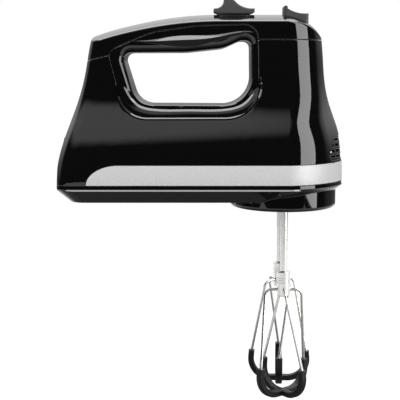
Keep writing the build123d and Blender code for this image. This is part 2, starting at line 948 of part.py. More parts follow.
def polar_point(radius, angle):
    return (radius * math.cos(math.radians(angle)), radius * math.sin(math.radians(angle)))


def half_tooth(radius, pitch_radius):
    """Half the tooth's thickness at a radius, along the pitch line."""
    slope = math.tan(math.radians(pressure_angle))
    return gear_module * math.pi / 4 - backlash / 2 - (radius - pitch_radius) * slope


def make_gear(y, tooth_angle):
    """Helical wheel with one tooth that points at the worm."""
    tip = wheel_radius + tooth_tip * gear_module
    root = wheel_radius - tooth_root * gear_module
    twist = math.degrees(gear_width * worm_slope / wheel_radius)
    outline = []
    for tooth in range(gear_teeth):
        middle = tooth_angle - twist / 2 + tooth * 360 / gear_teeth
        for radius, side in ((root, -1), (tip, -1), (tip, 1), (root, 1)):
            spread = math.degrees(half_tooth(radius, wheel_radius) / radius)
            outline.append(polar_point(radius, middle + side * spread))
    start = Plane((beater_x, y, motor_height - gear_width / 2))
    with BuildSketch(start) as profile:
        with BuildLine():
            Polyline(*outline, close=True)
        make_face()
    section = profile.sketch.face()
    blank = Solid.extrude_linear_with_rotation(section, start.origin, (0, 0, gear_width), twist)
    with BuildPart() as gear:
        add(blank)
        with BuildSketch(start):
            Circle(spindle_radius + fit_gap)
        extrude(amount=gear_width, mode=Mode.SUBTRACT)
    return gear.part


spindle_left = make_spindle(far_y)
spindle_right = make_spindle(near_y)
gear_left = make_gear(far_y, -90)
gear_right = make_gear(near_y, 90)

# Worm: a cross-section with one lobe for each start, twisted along the shaft
worm_tip = worm_radius + tooth_tip * gear_module
worm_root = worm_radius - tooth_root * gear_module
worm_turn = 360 * worm_length / worm_lead
motor_axis = Plane((0, 0, motor_height), x_dir=(0, 1, 0), z_dir=(1, 0, 0))
worm_plane = motor_axis.offset(beater_x - worm_length / 2)


def lobe_angle(radius):
    return half_tooth(radius, worm_radius) / worm_lead * 360


with BuildSketch(worm_plane) as worm_section:
    with BuildLine():
        flank_radii = [worm_root + (worm_tip - worm_root) * step / 2 for step in range(3)]
        for start in range(worm_starts):
            middle = 90 - worm_turn / 2 + start * 360 / worm_starts
            after = middle + 360 / worm_starts
            rising = [polar_point(radius, middle - lobe_angle(radius)) for radius in flank_radii]
            falling = [polar_point(radius, middle + lobe_angle(radius)) for radius in reversed(flank_radii)]
            Spline(*rising)
            ThreePointArc(rising[-1], polar_point(worm_tip, middle), falling[0])
            Spline(*falling)
            ThreePointArc(
                falling[-1],
                polar_point(worm_root, (middle + after) / 2),
                polar_point(worm_root, after - lobe_angle(worm_root)),
            )
    make_face()
worm_blank = Solid.extrude_linear_with_rotation(
    worm_section.sketch.face(), worm_plane.origin, (worm_length, 0, 0), worm_turn
)
with BuildPart() as worm:
    add(worm_blank)
    with BuildSketch(worm_plane):
        Circle(shaft_tip_radius + fit_gap)
    extrude(amount=worm_length, mode=Mode.SUBTRACT)

# Motor shaft, thinner where it carries the worm
shaft_step = beater_x - worm_length / 2
with BuildPart() as motor_shaft:
    with BuildSketch(motor_axis.offset(shaft_rear)):
        Circle(shaft_radius)
    extrude(amount=shaft_step - shaft_rear)
    with BuildSketch(motor_axis.offset(shaft_step)):
        Circle(shaft_tip_radius)
    extrude(amount=shaft_tip - shaft_step)


def make_sleeve(rear, length, outside, inside):
    """Round sleeve along the motor's axis."""
    with BuildPart() as sleeve:
        with BuildSketch(motor_axis.offset(rear)):
            Circle(outside)
            Circle(inside, mode=Mode.SUBTRACT)
        extrude(amount=length)
    return sleeve.part


rear_bearing = make_sleeve(rear_bearing_x, bearing_width, bearing_radius, shaft_radius + running_gap)
front_bearing = make_sleeve(front_bearing_x, bearing_width, bearing_radius, shaft_radius + running_gap)
tip_bore = shaft_tip_radius + running_gap
nose_bearing = make_sleeve(tip_bearing_x, tip_bearing_width, tip_bearing_radius, tip_bore)
armature_core = make_sleeve(core_rear, core_length, rotor_radius, shaft_radius + fit_gap)

# Windings at both ends of the armature
with BuildPart() as armature_windings:
    for rear in (core_rear - winding_length, core_front):
        with BuildSketch(motor_axis.offset(rear)):
            Circle(winding_radius)
            Circle(shaft_radius + fit_gap, mode=Mode.SUBTRACT)
        extrude(amount=winding_length)

# Commutator with grooves between its bars
with BuildPart() as commutator:
    with BuildSketch(motor_axis.offset(commutator_rear)):
        Circle(commutator_radius)
        Circle(shaft_radius + fit_gap, mode=Mode.SUBTRACT)
        with PolarLocations(commutator_radius, commutator_bars):
            Rectangle(2 * commutator_groove, commutator_groove, mode=Mode.SUBTRACT)
    extrude(amount=commutator_length)

# Cooling fan: hub, disc and straight blades
with BuildPart() as cooling_fan:
    with BuildSketch(motor_axis.offset(fan_x)):
        Circle(fan_hub)
        with PolarLocations((fan_hub / 2 + fan_radius - fan_disc) / 2, fan_blades):
            Rectangle(fan_radius - fan_disc - fan_hub / 2, fan_blade)
        Circle(shaft_radius + fit_gap, mode=Mode.SUBTRACT)
    extrude(amount=fan_length)
    with BuildSketch(motor_axis.offset(fan_x + fan_length)):
        Circle(fan_radius)
        Circle(shaft_radius + fit_gap, mode=Mode.SUBTRACT)
    extrude(amount=fan_disc)

# Stator stack with its bore, coil slots and tie rod holes
coil_slot_width = coil_width + 2 * coil_gap
coil_slot_middle = coil_inner + coil_width / 2
with BuildPart() as stator_core:
    with BuildSketch(motor_axis.offset(core_rear)):
        RectangleRounded(2 * core_half_y, 2 * core_half_z, core_round)
        Circle(rotor_radius + air_gap, mode=Mode.SUBTRACT)
        with GridLocations(2 * coil_y, 2 * coil_slot_middle, 2, 2):
            Rectangle(coil_thick + 2 * coil_gap, coil_slot_width, mode=Mode.SUBTRACT)
        with GridLocations(0, 2 * tie_rod_offset, 1, 2):
            Circle(tie_rod_radius + screw_gap, mode=Mode.SUBTRACT)
    extrude(amount=core_length)

# Field coils: flat loops through the stator's slots
coil_middle = core_rear + core_length / 2
coil_outer = coil_inner + coil_width
with BuildPart() as field_coils:
    for side in (-1, 1):
        with BuildSketch(Plane.XZ.offset(side * coil_y - coil_thick / 2)):
            with Locations((coil_middle, motor_height)):
                RectangleRounded(core_length + 2 * coil_overhang, 2 * coil_outer, coil_overhang)
                Rectangle(core_length + 2 * coil_gap, 2 * coil_inner, mode=Mode.SUBTRACT)
        extrude(amount=coil_thick)

# Rear bracket: bearing plate on the pan floor, with arms over the brush holders
holder_half = brush_size / 2 + brush_gap + holder_wall
holder_x = commutator_rear + commutator_length / 2
bracket_rear = rear_bearing_x
bracket_front = rear_bearing_x + bearing_width
brush_in = commutator_radius + brush_gap
holder_in = brush_in + holder_wall
with BuildPart() as rear_bracket:
    with BuildSketch(motor_axis.offset(bracket_rear)):
        with Locations((0, (pan_floor_top + bracket_top) / 2 - motor_height)):
            Rectangle(2 * bracket_half, bracket_top - pan_floor_top)
        Circle(bearing_radius + fit_gap, mode=Mode.SUBTRACT)
        with GridLocations(0, 2 * tie_rod_offset, 1, 2):
            Circle(tie_rod_radius + screw_gap, mode=Mode.SUBTRACT)
    extrude(amount=bearing_width)
    with BuildSketch(Plane.XY.offset(motor_height + holder_half)):
        arm_length = holder_x + holder_half - bracket_front
        with Locations((bracket_front + arm_length / 2, 0)):
            with GridLocations(0, 2 * bracket_half, 1, 2):
                Rectangle(arm_length, holder_half)
    extrude(amount=bracket_arm)

# Brush holders, brushes and their springs, one set on each side of the commutator
with BuildPart() as brush_holders:
    for side in (-1, 1):
        with BuildSketch(Plane.XZ.offset(side * holder_in)):
            with Locations((holder_x, motor_height)):
                Rectangle(2 * holder_half, 2 * holder_half)
                Rectangle(brush_size + 2 * brush_gap, brush_size + 2 * brush_gap, mode=Mode.SUBTRACT)
        extrude(amount=side * holder_length)
        with BuildSketch(Plane.XZ.offset(side * (holder_in + holder_length))):
            with Locations((holder_x, motor_height)):
                Rectangle(2 * holder_half, 2 * holder_half)
        extrude(amount=side * holder_cap)

with BuildPart() as carbon_brushes:
    for side in (-1, 1):
        with BuildSketch(Plane.XZ.offset(side * brush_in)):
            with Locations((holder_x, motor_height)):
                Rectangle(brush_size, brush_size)
        extrude(amount=side * brush_length)

with BuildPart() as brush_springs:
    for side in (-1, 1):
        with BuildSketch(Plane.XZ.offset(side * (brush_in + brush_length))):
            with Locations((holder_x, motor_height)):
                Circle(brush_spring_radius)
        extrude(amount=side * (holder_in + holder_length - brush_in - brush_length))

# Tie rods through the stator and the rear bracket
with BuildPart() as tie_rods:
    with BuildSketch(motor_axis.offset(bracket_rear)):
        with GridLocations(0, 2 * tie_rod_offset, 1, 2):
            Circle(tie_rod_radius)
    extrude(amount=core_front - bracket_rear)

# Gearbox frame: plate over the wheels, with the bearing walls and upper bush seats
frame_form = make_hull(wall + 2 * rod_gap)
bush_high = frame_top - bush_length
wall_low = motor_height - bearing_radius - bearing_width / 2
tip_wall_low = motor_height - tip_bearing_radius - bearing_width / 2
with BuildPart() as gearbox_frame:
    with BuildSketch(Plane.XY.offset(frame_under)):
        with Locations(((frame_rear + frame_front) / 2, 0)):
            Rectangle(frame_front - frame_rear, 2 * frame_half)
    extrude(amount=frame_plate)
    add(frame_form, mode=Mode.INTERSECT)
    with BuildSketch(motor_axis.offset(front_bearing_x)):
        with Locations((0, (wall_low + frame_under) / 2 - motor_height)):
            Rectangle(2 * bracket_half, frame_under - wall_low)
    extrude(amount=bearing_width)
    with BuildSketch(motor_axis.offset(tip_bearing_x)):
        with Locations((0, (tip_wall_low + frame_under) / 2 - motor_height)):
            Rectangle(2 * tip_wall_half, frame_under - tip_wall_low)
    extrude(amount=tip_bearing_width)
    with BuildSketch(Plane.XY.offset(bush_high)):
        with Locations(*spindle_places):
            Circle(bush_radius + bush_wall)
    extrude(amount=frame_under - bush_high)
    with BuildSketch(motor_axis.offset(front_bearing_x)):
        Circle(bearing_radius + fit_gap)
    extrude(amount=bearing_width, mode=Mode.SUBTRACT)
    with BuildSketch(motor_axis.offset(tip_bearing_x)):
        Circle(tip_bearing_radius + fit_gap)
    extrude(amount=tip_bearing_width, mode=Mode.SUBTRACT)
    with BuildSketch(Plane.XY.offset(bush_high)):
        with Locations(*spindle_places):
            Circle(bush_radius + fit_gap)
    extrude(amount=bush_length, mode=Mode.SUBTRACT)
    with BuildSketch(Plane.XY.offset(frame_under)):
        with Locations(*gear_posts):
            Circle(screw_radius + screw_gap)
    extrude(amount=frame_plate, mode=Mode.SUBTRACT)

with BuildPart() as gearbox_screws:
    with BuildSketch(Plane.XY.offset(frame_top)):
        with Locations(*gear_posts):
            Circle(screw_head_radius)
    extrude(amount=screw_head)
    with BuildSketch(Plane.XY.offset(frame_top)):
        with Locations(*gear_posts):
            Circle(screw_radius)
    extrude(amount=screw_head - screw_bite)

# Bushes of both spindles, in the boss floor and in the gearbox frame
with BuildPart() as spindle_bushes:
    for low in (bush_low, bush_high):
        with BuildSketch(Plane.XY.offset(low)):
            with Locations(*spindle_places):
                Circle(bush_radius)
                Circle(spindle_radius + running_gap, mode=Mode.SUBTRACT)
        extrude(amount=bush_length)

# Supply lead inside the casing, from the gland to the switch
lead_start = gland_x + gland_length
lead_points = [
    (lead_start, gland_height),
    (lead_start + lead_run, gland_height),
    *lead_way,
    (switch_rear - seat_gap, switch_bottom + switch_height / 2),
]
with BuildPart() as supply_lead:
    with BuildLine(Plane.XZ):
        lead_path = FilletPolyline(*lead_points, radius=lead_bends)
    with BuildSketch(Plane(lead_path @ 0, z_dir=lead_path % 0)):
        Circle(lead_radius)
    sweep(path=lead_path)


def make_beater_shaft(y):
    """Round shaft with the two key wings that the spindle turns."""
    with BuildPart() as shaft:
        with BuildSketch(Plane.XY.offset(shaft_top)):
            with Locations((beater_x, y)):
                Circle(beater_shaft_radius)
        extrude(amount=hub_bottom + hub_floor - shaft_top)
        with BuildSketch(Plane.XY.offset(key_bottom)):
            with Locations((beater_x, y)):
                Rectangle(2 * key_reach, key_thick)
        extrude(amount=key_top - key_bottom)
        chamfer(shaft.edges().group_by(Axis.Z)[-1], beater_shaft_radius / 4)
    return shaft.part


def loop_plane(y, angle):
    """Upright plane through a beater's axis, with its X axis along one arm."""
    along = (math.cos(math.radians(angle)), math.sin(math.radians(angle)), 0)
    across = (along[1], -along[0], 0)
    return Plane((beater_x, y, 0), x_dir=along, z_dir=across)


def arm_point(y, angle, reach, height):
    """Point at a distance from a beater's axis, along an arm at this angle."""
    turn = math.radians(angle)
    return (beater_x + reach * math.cos(turn), y + reach * math.sin(turn), height)


def make_wires(y, angle, leg):
    """Two crossed wire loops: out of the hub, slanting down to the boots and under."""
    bends = (shoulder_bend, leg_bend, foot_bend, foot_bend, leg_bend, shoulder_bend)
    with BuildPart() as wires:
        for turn in (angle, angle + 90):
            with BuildLine():
                path = FilletPolyline(
                    arm_point(y, turn - leg, -wire_start, wire_exit),
                    arm_point(y, turn - leg, -wire_shoulder, wire_exit),
                    arm_point(y, turn, -boot_reach, boot_top),
                    arm_point(y, turn, -wire_foot, wire_bottom),
                    arm_point(y, turn, wire_foot, wire_bottom),
                    arm_point(y, turn, boot_reach, boot_top),
                    arm_point(y, turn - leg, wire_shoulder, wire_exit),
                    arm_point(y, turn - leg, wire_start, wire_exit),
                    radius=bends,
                )
            with BuildSketch(Plane(path @ 0, z_dir=path % 0)):
                Circle(wire_radius)
            sweep(path=path)
    return wires.part


def make_boots(y, angle, wires):
    """Rubber boots over the lower part of both loops."""
    corners = [
        (-boot_reach, boot_top),
        (-wire_foot, wire_bottom),
        (wire_foot, wire_bottom),
        (boot_reach, boot_top),
    ]
    with BuildPart() as boots:
        for turn, depth in ((angle, boot_depth), (angle + 90, boot_depth - boot_step)):
            plane = loop_plane(y, turn)
            with BuildLine(plane):
                path = FilletPolyline(*corners, radius=foot_bend)
            with BuildSketch(Plane(path @ 0, x_dir=plane.z_dir, z_dir=path % 0)):
                RectangleRounded(boot_width, depth, boot_round)
            sweep(path=path)
        add(wires, mode=Mode.SUBTRACT)
    return boots.part


def make_hub(y, angle):
    """Hub with ring grooves, a blind bore for the shaft and holes for the wires."""
    with BuildPart() as hub:
        with BuildSketch(Plane.XY.offset(hub_bottom)):
            with Locations((beater_x, y)):
                Circle(hub_radius)
        extrude(amount=hub_top - hub_bottom)
        fillet(hub.edges(), hub_groove)
        with BuildSketch(Plane.XY.offset(hub_bottom + hub_floor)):
            with Locations((beater_x, y)):
                Circle(beater_shaft_radius + fit_gap)
        extrude(amount=hub_top - hub_bottom, mode=Mode.SUBTRACT)
        for groove in range(hub_grooves):
            with BuildSketch(Plane.XY.offset(hub_groove_first - groove * hub_groove_pitch)):
                with Locations((beater_x, y)):
                    Circle(2 * hub_radius)
                    Circle(hub_radius - hub_groove, mode=Mode.SUBTRACT)
            extrude(amount=-hub_groove, mode=Mode.SUBTRACT)
        for arm in range(4):
            turn = angle + 90 * arm
            out = (math.cos(math.radians(turn)), math.sin(math.radians(turn)), 0)
            with BuildSketch(Plane(arm_point(y, turn, wire_start, wire_exit), z_dir=out)):
                Circle(wire_radius + fit_gap)
            extrude(amount=hub_radius, mode=Mode.SUBTRACT)
    return hub.part


wires_left = make_wires(far_y, far_angle, -leg_turn)
wires_right = make_wires(near_y, near_angle, leg_turn)

os.makedirs("parts", exist_ok=True)
pieces = {
    "main_housing": main_housing.part,
    "handle_cover": handle_cover.part,
    "grip_ring": grip_ring.part,
    "trim_band": trim_band.part,
    "vent_grille": vent_grille.part,
    "bottom_housing": bottom_housing.part,
    "housing_screws": housing_screws.part,
    "cord_gland": cord_gland.part,
    "speed_knob": speed_knob.part,
    "slide_shield": slide_shield.part,
    "speed_switch": speed_switch.part,
    "control_board": control_board.part,
    "supply_lead": supply_lead.part,
    "ejector_button": ejector_button.part,
    "ejector_yoke": ejector_yoke.part,
    "ejector_guide": ejector_guide.part,
    "ejector_spring": ejector_spring.part,
    "ejector_pin_left": make_pin(far_y),
    "ejector_pin_right": make_pin(near_y),
    "stator_core": stator_core.part,
    "field_coils": field_coils.part,
    "armature_core": armature_core,
    "armature_windings": armature_windings.part,
    "commutator": commutator.part,
    "motor_shaft": motor_shaft.part,
    "worm": worm.part,
    "cooling_fan": cooling_fan.part,
    "rear_bracket": rear_bracket.part,
    "tie_rods": tie_rods.part,
    "rear_bearing": rear_bearing,
    "front_bearing": front_bearing,
    "nose_bearing": nose_bearing,
    "brush_holders": brush_holders.part,
    "carbon_brushes": carbon_brushes.part,
    "brush_springs": brush_springs.part,
    "gearbox_frame": gearbox_frame.part,
    "gearbox_screws": gearbox_screws.part,
    "spindle_bushes": spindle_bushes.part,
    "spindle_left": spindle_left,
    "spindle_right": spindle_right,
    "spindle_clip_left": make_clip(far_y),
    "spindle_clip_right": make_clip(near_y),
    "drive_gear_left": gear_left,
    "drive_gear_right": gear_right,
    "beater_shaft_left": make_beater_shaft(far_y),
    "beater_shaft_right": make_beater_shaft(near_y),
    "beater_hub_left": make_hub(far_y, far_angle + leg_turn),
    "beater_hub_right": make_hub(near_y, near_angle - leg_turn),
    "beater_wires_left": wires_left,
    "beater_wires_right": wires_right,
    "beater_boots_left": make_boots(far_y, far_angle, wires_left),
    "beater_boots_right": make_boots(near_y, near_angle, wires_right),
}
for name, piece in pieces.items():
    piece.label = name
    export_step(piece, f"parts/{name}.step")
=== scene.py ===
import math

import bmesh
import bpy
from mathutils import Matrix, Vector
from mathutils.bvhtree import BVHTree


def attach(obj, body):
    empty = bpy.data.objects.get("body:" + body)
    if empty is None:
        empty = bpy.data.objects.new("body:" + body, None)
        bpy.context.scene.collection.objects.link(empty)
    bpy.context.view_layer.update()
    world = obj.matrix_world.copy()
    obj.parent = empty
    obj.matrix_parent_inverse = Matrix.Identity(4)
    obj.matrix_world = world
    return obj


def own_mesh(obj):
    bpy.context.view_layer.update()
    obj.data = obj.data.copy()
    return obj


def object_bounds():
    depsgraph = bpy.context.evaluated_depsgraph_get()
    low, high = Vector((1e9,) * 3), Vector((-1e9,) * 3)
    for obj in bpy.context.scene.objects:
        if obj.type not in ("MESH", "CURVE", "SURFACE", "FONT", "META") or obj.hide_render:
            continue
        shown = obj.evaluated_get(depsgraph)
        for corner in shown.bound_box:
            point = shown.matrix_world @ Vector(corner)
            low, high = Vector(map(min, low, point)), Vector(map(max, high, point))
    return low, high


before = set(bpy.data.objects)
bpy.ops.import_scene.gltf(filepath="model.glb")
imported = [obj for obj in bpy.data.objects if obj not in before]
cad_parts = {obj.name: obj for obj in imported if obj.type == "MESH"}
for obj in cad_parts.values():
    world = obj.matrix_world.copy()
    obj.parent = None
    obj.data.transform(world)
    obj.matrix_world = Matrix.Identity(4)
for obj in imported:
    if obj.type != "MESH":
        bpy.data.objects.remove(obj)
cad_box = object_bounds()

bl_info = {
    "name": "Hand mixer",
    "version": (1, 0, 0),
    "blender": (4, 5, 0),
    "location": "View3D > Sidebar > Mixer",
    "description": "Finishes and studio stage for a kitchen hand mixer",
    "category": "Object",
}

# Plan of the lip that the lower shell carries: height, heel, front, length of the nose and half width
LIP_HEIGHT = -0.1069
LIP_HEEL = -0.0850
LIP_FRONT = 0.1179
LIP_NOSE = 0.0438
LIP_HALF = 0.0441

# Knots of one side of the lip and of its tip: handle before, place, handle after, share of the section
LIP_SIDE = [
    ((LIP_HEEL, 0.85), (LIP_HEEL, 0.885), (LIP_HEEL + 0.003, 0.96), 0.2),
    ((LIP_HEEL + 0.007, 1), (LIP_HEEL + 0.012, 1), (0, 1), 1),
    ((0.02, 1), (LIP_FRONT - LIP_NOSE, 1), (LIP_FRONT - 0.55 * LIP_NOSE, 1), 1),
]
LIP_TIP = ((LIP_FRONT, -0.45), (LIP_FRONT, 0), (LIP_FRONT, 0.45), 0.3)

# Section of the lip in steps of its width, out and up from the shell's side
LIP_SECTION = [(0, 0.1), (0.36, 0.1), (1, -0.63), (0.95, -0.75), (-0.6, -1)]

# Line of the seam under the grip ring seen from the side, as corners with their radii
SEAM_CORNERS = [(-0.0472, -0.0270), (-0.0382, -0.0597), (0.0572, -0.0595), (0.0566, -0.0280)]
SEAM_RADII = [0.0205, 0.0245]

# The bead under the ring dips into the shell at its ends: its share there and its rise along the line
BEAD_END = 0.4
BEAD_RISE = 2.5

# Steps between the knots of the lip and of the seam, and steps in the bead's rounding
LIP_STEPS = 24
SEAM_STEPS = 12
BEAD_STEPS = 4

# Distance from the middle plane where the search for the housing's skin starts
OUTSIDE = 0.1

# Faces of a moulded bead that meet at more than this angle keep their edge
SHARP_TURN = math.radians(24)

# Part of a pattern's range that the roughness follows
PATTERN_LOW = 0.25
PATTERN_HIGH = 0.75

# A wave texture turns through this many radians for each unit of its scale
WAVE_TURN = 20

# Scale of the drawing marks along a beater, small so that they run on as lines
DRAWN = 0.04

# Cosine of an edge's turn where the painted highlight starts and where it is full, and its share of the
# paler tone
HIGHLIGHT_START = 0.995
HIGHLIGHT_FULL = 0.85
HIGHLIGHT_SHARE = 0.8

# The floor glows in full in the gloss at this many times the reach of the mixer's shade
SHADE_END = 1.3

# In the gloss the upper room brightens between these heights of a ray, over a front of this brightness
UPPER_START = 0.62
UPPER_FULL = 0.86
DARK_FRONT = 0.02

# The lower edge of that bright part climbs to the right from this bearing
LEAN_START = -0.12

# The back of the room starts between these bearings, and its ceiling is brightest at this height
BACK_START = 0.05
BACK_FULL = 0.3
CEILING_HEIGHT = 0.75

# On matt surfaces the fill falls from the walls' light to the ceiling's between these heights
WALL_TOP = 0.1
FILL_END = 0.7

# Soft boxes: place, target, and width and height
STRIP_BOX = ((0.85, -0.54, 0.87), (0, -0.54, 0.87), (0.6, 2.24))
TOP_BOX = ((0, 0.09, 1.1), (0, 0.09, 0), (1.5, 1.02))
KEY_BOX = ((-0.1, -0.3, 1.2), (0.03, 0, -0.1), (1.2, 1.2))

# Camera of the photograph: place, tilt, and lens and sensor in millimetres
CAMERA_PLACE = (0.0144, -0.7031, -0.02115)
CAMERA_TILT = math.radians(82)
CAMERA_LENS = 86.67
CAMERA_SENSOR = 36.0

WHITE = (1, 1, 1, 1)


def linear(code):
    """Linear colour of an sRGB hex value."""
    parts = [int(code[place : place + 2], 16) / 255 for place in (1, 3, 5)]
    return tuple(part / 12.92 if part <= 0.04045 else ((part + 0.055) / 1.055) ** 2.4 for part in parts)


def colour(name, description, code):
    """Colour property whose default is an sRGB hex value."""
    return bpy.props.FloatVectorProperty(
        name=name, description=description, subtype="COLOR", min=0.0, max=1.0, default=linear(code)
    )


def length(name, description, metres):
    """Length property with its default in metres."""
    return bpy.props.FloatProperty(
        name=name,
        description=description,
        subtype="DISTANCE",
        unit="LENGTH",
        min=0.0,
        precision=5,
        default=metres,
    )


def amount(name, description, value, unit="NONE"):
    """Plain positive number."""
    return bpy.props.FloatProperty(name=name, description=description, unit=unit, min=0.0, default=value)


class MixerColours(bpy.types.PropertyGroup):
    """Colours of the mixer's materials"""

    body: colour("Body", "Gloss black of the housing shells", "#0A0A0B")
    band: colour("Trim band", "Silver paint of the trim band", "#D4D4D5")
    band_flake: colour("Trim flake", "Brighter flakes in the silver paint", "#E2E2E4")
    control: colour("Controls", "Dark grey of the speed knob and the ejector button", "#454547")
    # Painted highlight: paler grey on the controls' rounded edges
    control_edge_highlight: colour("Painted edge highlight", "Paler grey painted on the controls' rounded edges as a highlight", "#77777A")
    inner: colour("Inner mouldings", "Black of the matt inner mouldings and the gland", "#161617")
    inner_grain: colour("Inner grain", "Paler grain in the matt inner mouldings", "#242425")
    boot: colour("Boots", "Black of the beaters' soft boots", "#0B0B0C")
    boot_bloom: colour("Boot bloom", "Greyer bloom on the soft boots", "#18181A")
    stainless: colour("Stainless", "Polished stainless steel of the beaters", "#E9E9E7")
    steel: colour("Steel", "Ground steel of shafts, worm, pins and spindles", "#C4C5C8")
    spring: colour("Spring", "Drawn spring steel", "#9A9CA0")
    zinc: colour("Zinc", "Bright zinc plate on screws and brackets", "#C3C8CC")
    zinc_tint: colour("Zinc tint", "Warm tint in the zinc plate", "#CFC9B6")
    iron: colour("Core iron", "Stacked sheets of the motor's cores", "#85868A")
    iron_gap: colour("Core gap", "Dark varnish between the sheets", "#4A4A4D")
    copper: colour("Winding", "Lacquered copper wire of the windings", "#C0703A")
    copper_gap: colour("Winding gap", "Varnish between the strands", "#6E3A1C")
    commutator: colour("Commutator", "Turned copper of the commutator", "#C9895A")
    bronze: colour("Bronze", "Sintered bronze of the bearings", "#A88552")
    bronze_pore: colour("Bronze pore", "Oily pores in the sintered bronze", "#5E4826")
    brass: colour("Brass", "Pressed brass of the brush holders", "#C8AA5E")
    carbon: colour("Carbon", "Pressed carbon of the brushes", "#232324")
    carbon_spark: colour("Carbon grain", "Bright graphite grains in the brushes", "#48484B")
    aluminium: colour("Aluminium", "Die-cast aluminium of the gearbox frame", "#B9BABD")
    nylon: colour("Nylon", "Natural white nylon of the drive gears", "#E6E2D6")
    nylon_tint: colour("Nylon tint", "Warmer flow marks in the nylon", "#D9D3C2")
    board: colour("Board", "Green lacquer of the control board", "#1C5B38")
    track: colour("Board tracks", "Copper tracks under the green lacquer", "#3A8A57")
    sheath: colour("Lead sheath", "Black sheath of the supply lead", "#19191A")
    sheath_dust: colour("Sheath dust", "Dull patches on the lead's sheath", "#2A2A2B")
    floor: colour("Floor", "Pale studio floor", "#A0A0A0")


class MixerSizes(bpy.types.PropertyGroup):
    """Sizes of the surface detail and of the moulded beads"""

    seam_edge: length("Seam edge", "Rounding of the moulded edges along the seams", 0.0006)
    band_edge: length("Band edge", "Rounding of the silver band's edges", 0.0003)
    trim_edge: length("Trim edge", "Rounding of the edges of the moulded lip", 0.0001)
    ripple: length("Ripple", "Length of the faint ripples in a gloss moulding", 0.022)
    haze: length("Haze", "Size of the duller patches on a gloss moulding", 0.022 / 3)
    flake: length("Paint flake", "Size drawn for the flakes in the silver paint", 0.0006)
    grain: length("Grain", "Size drawn for the eroded grain on matt mouldings", 0.0006)
    bloom: length("Bloom", "Size of the dull patches on rubber", 0.006)
    line: length("Drawn line", "Width drawn for the lines on drawn and ground steel", 0.0005)
    sheet: length("Core sheet", "Thickness drawn for one sheet of the motor's cores", 0.001)
    strand: length("Strand", "Thickness drawn for one strand of the windings", 0.0009)
    grit: length("Casting grit", "Size of the grit on cast and sintered metal", 0.0008)
    graphite: length("Graphite", "Size of the graphite grains in the brushes", 0.0004)
    track: length("Board track", "Spacing of the tracks on the control board", 0.0025)
    stain: length("Stain", "Size of the tint clouds in plated and turned metal", 0.004)
    ledge: length("Lip ledge", "How far the moulded lip stands out under the silver band", 0.0014)
    bead: length("Bead", "Radius of the moulded bead under the grip ring", 0.0022)
    bead_depth: length("Bead depth", "How deep the bead's middle lies in the housing", 0.0012)


class MixerStage(bpy.types.PropertyGroup):
    """Studio around the mixer"""

    floor_half: length("Floor half width", "Half the width of the pale floor", 0.95)
    drop: length("Drop", "How far the floor lies under the beaters, to let them be drawn out", 0.0395)
    strip_power: amount("Strip power", "Power of the tall soft box on the right, for gloss", 23, "POWER")
    top_power: amount("Top power", "Power of the soft box over the mixer, for gloss", 34, "POWER")
    key_power: amount("Key power", "Power of the broad light that gives the shadow", 4, "POWER")
    fill: amount("Fill", "Even light from the walls of the white room on matt surfaces", 1.6)
    rest: amount("Rest of the fill", "Share of the fill that the ceiling gives", 0.25)
    ramp: amount("Ramp", "Brightness of the upper room in the gloss", 1.0)
    tilt: amount("Tilt", "How steeply the upper room's lower edge climbs to the right", 1.0)
    wall: amount("Back wall", "Brightness of the back wall in the gloss", 0.15)
    ceiling: amount("Back ceiling", "Brightness of the ceiling behind the mixer in the gloss", 2.4)
    glow: amount("Floor glow", "Brightness that the floor adds to the background", 0.85)
    shade: length("Shade", "How far the mixer's own shade reaches over the floor", 0.36)


def add_node(tree, kind, inputs=None, links=None, to=None, **settings):
    """Adds one shader node with its settings, socket values and links, and links its first output on."""
    node = tree.nodes.new(kind)
    for name, value in settings.items():
        setattr(node, name, value)
    for socket, value in (inputs or {}).items():
        node.inputs[socket].default_value = value
    for socket, source in (links or {}).items():
        tree.links.new(source, node.inputs[socket])
    if to is not None:
        tree.links.new(node.outputs[0], to)
    return node


def start_material(name, roughness, metallic=0.0, ior=None):
    """New material with its shader and the object's own coordinates."""
    material = bpy.data.materials.new(name)
    material.use_nodes = True
    tree = material.node_tree
    shader = tree.nodes["Principled BSDF"]
    shader.inputs["Metallic"].default_value = metallic
    shader.inputs["Roughness"].default_value = roughness
    if ior:
        shader.inputs["IOR"].default_value = ior
    place = add_node(tree, "ShaderNodeTexCoord").outputs["Object"]
    return material, tree, shader, place


def show_pattern(tree, shader, pattern, tones=None, roughness=None, depth=None, strength=1.0, edge=None):
    """Lets a pattern drive what is given: two tones, a range of roughness, a relief over rounded edges."""
    if tones:
        first, second = tones
        add_node(
            tree,
            "ShaderNodeMixRGB",
            {"Color1": (*first, 1), "Color2": (*second, 1)},
            {"Fac": pattern},
            to=shader.inputs["Base Color"],
        )
    if roughness:
        low, high = roughness
        add_node(
            tree,
            "ShaderNodeMapRange",
            {"From Min": PATTERN_LOW, "From Max": PATTERN_HIGH, "To Min": low, "To Max": high},
            {"Value": pattern},
            to=shader.inputs["Roughness"],
        )
    if depth:
        links = {"Height": pattern}
        if edge:
            links["Normal"] = edge.outputs["Normal"]
        add_node(
            tree,
            "ShaderNodeBump",
            {"Strength": strength, "Distance": depth},
            links,
            to=shader.inputs["Normal"],
        )


def dress(nodes, material):
    """Gives CAD nodes a finish."""
    for node in nodes:
        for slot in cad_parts[node].material_slots:
            slot.material = material


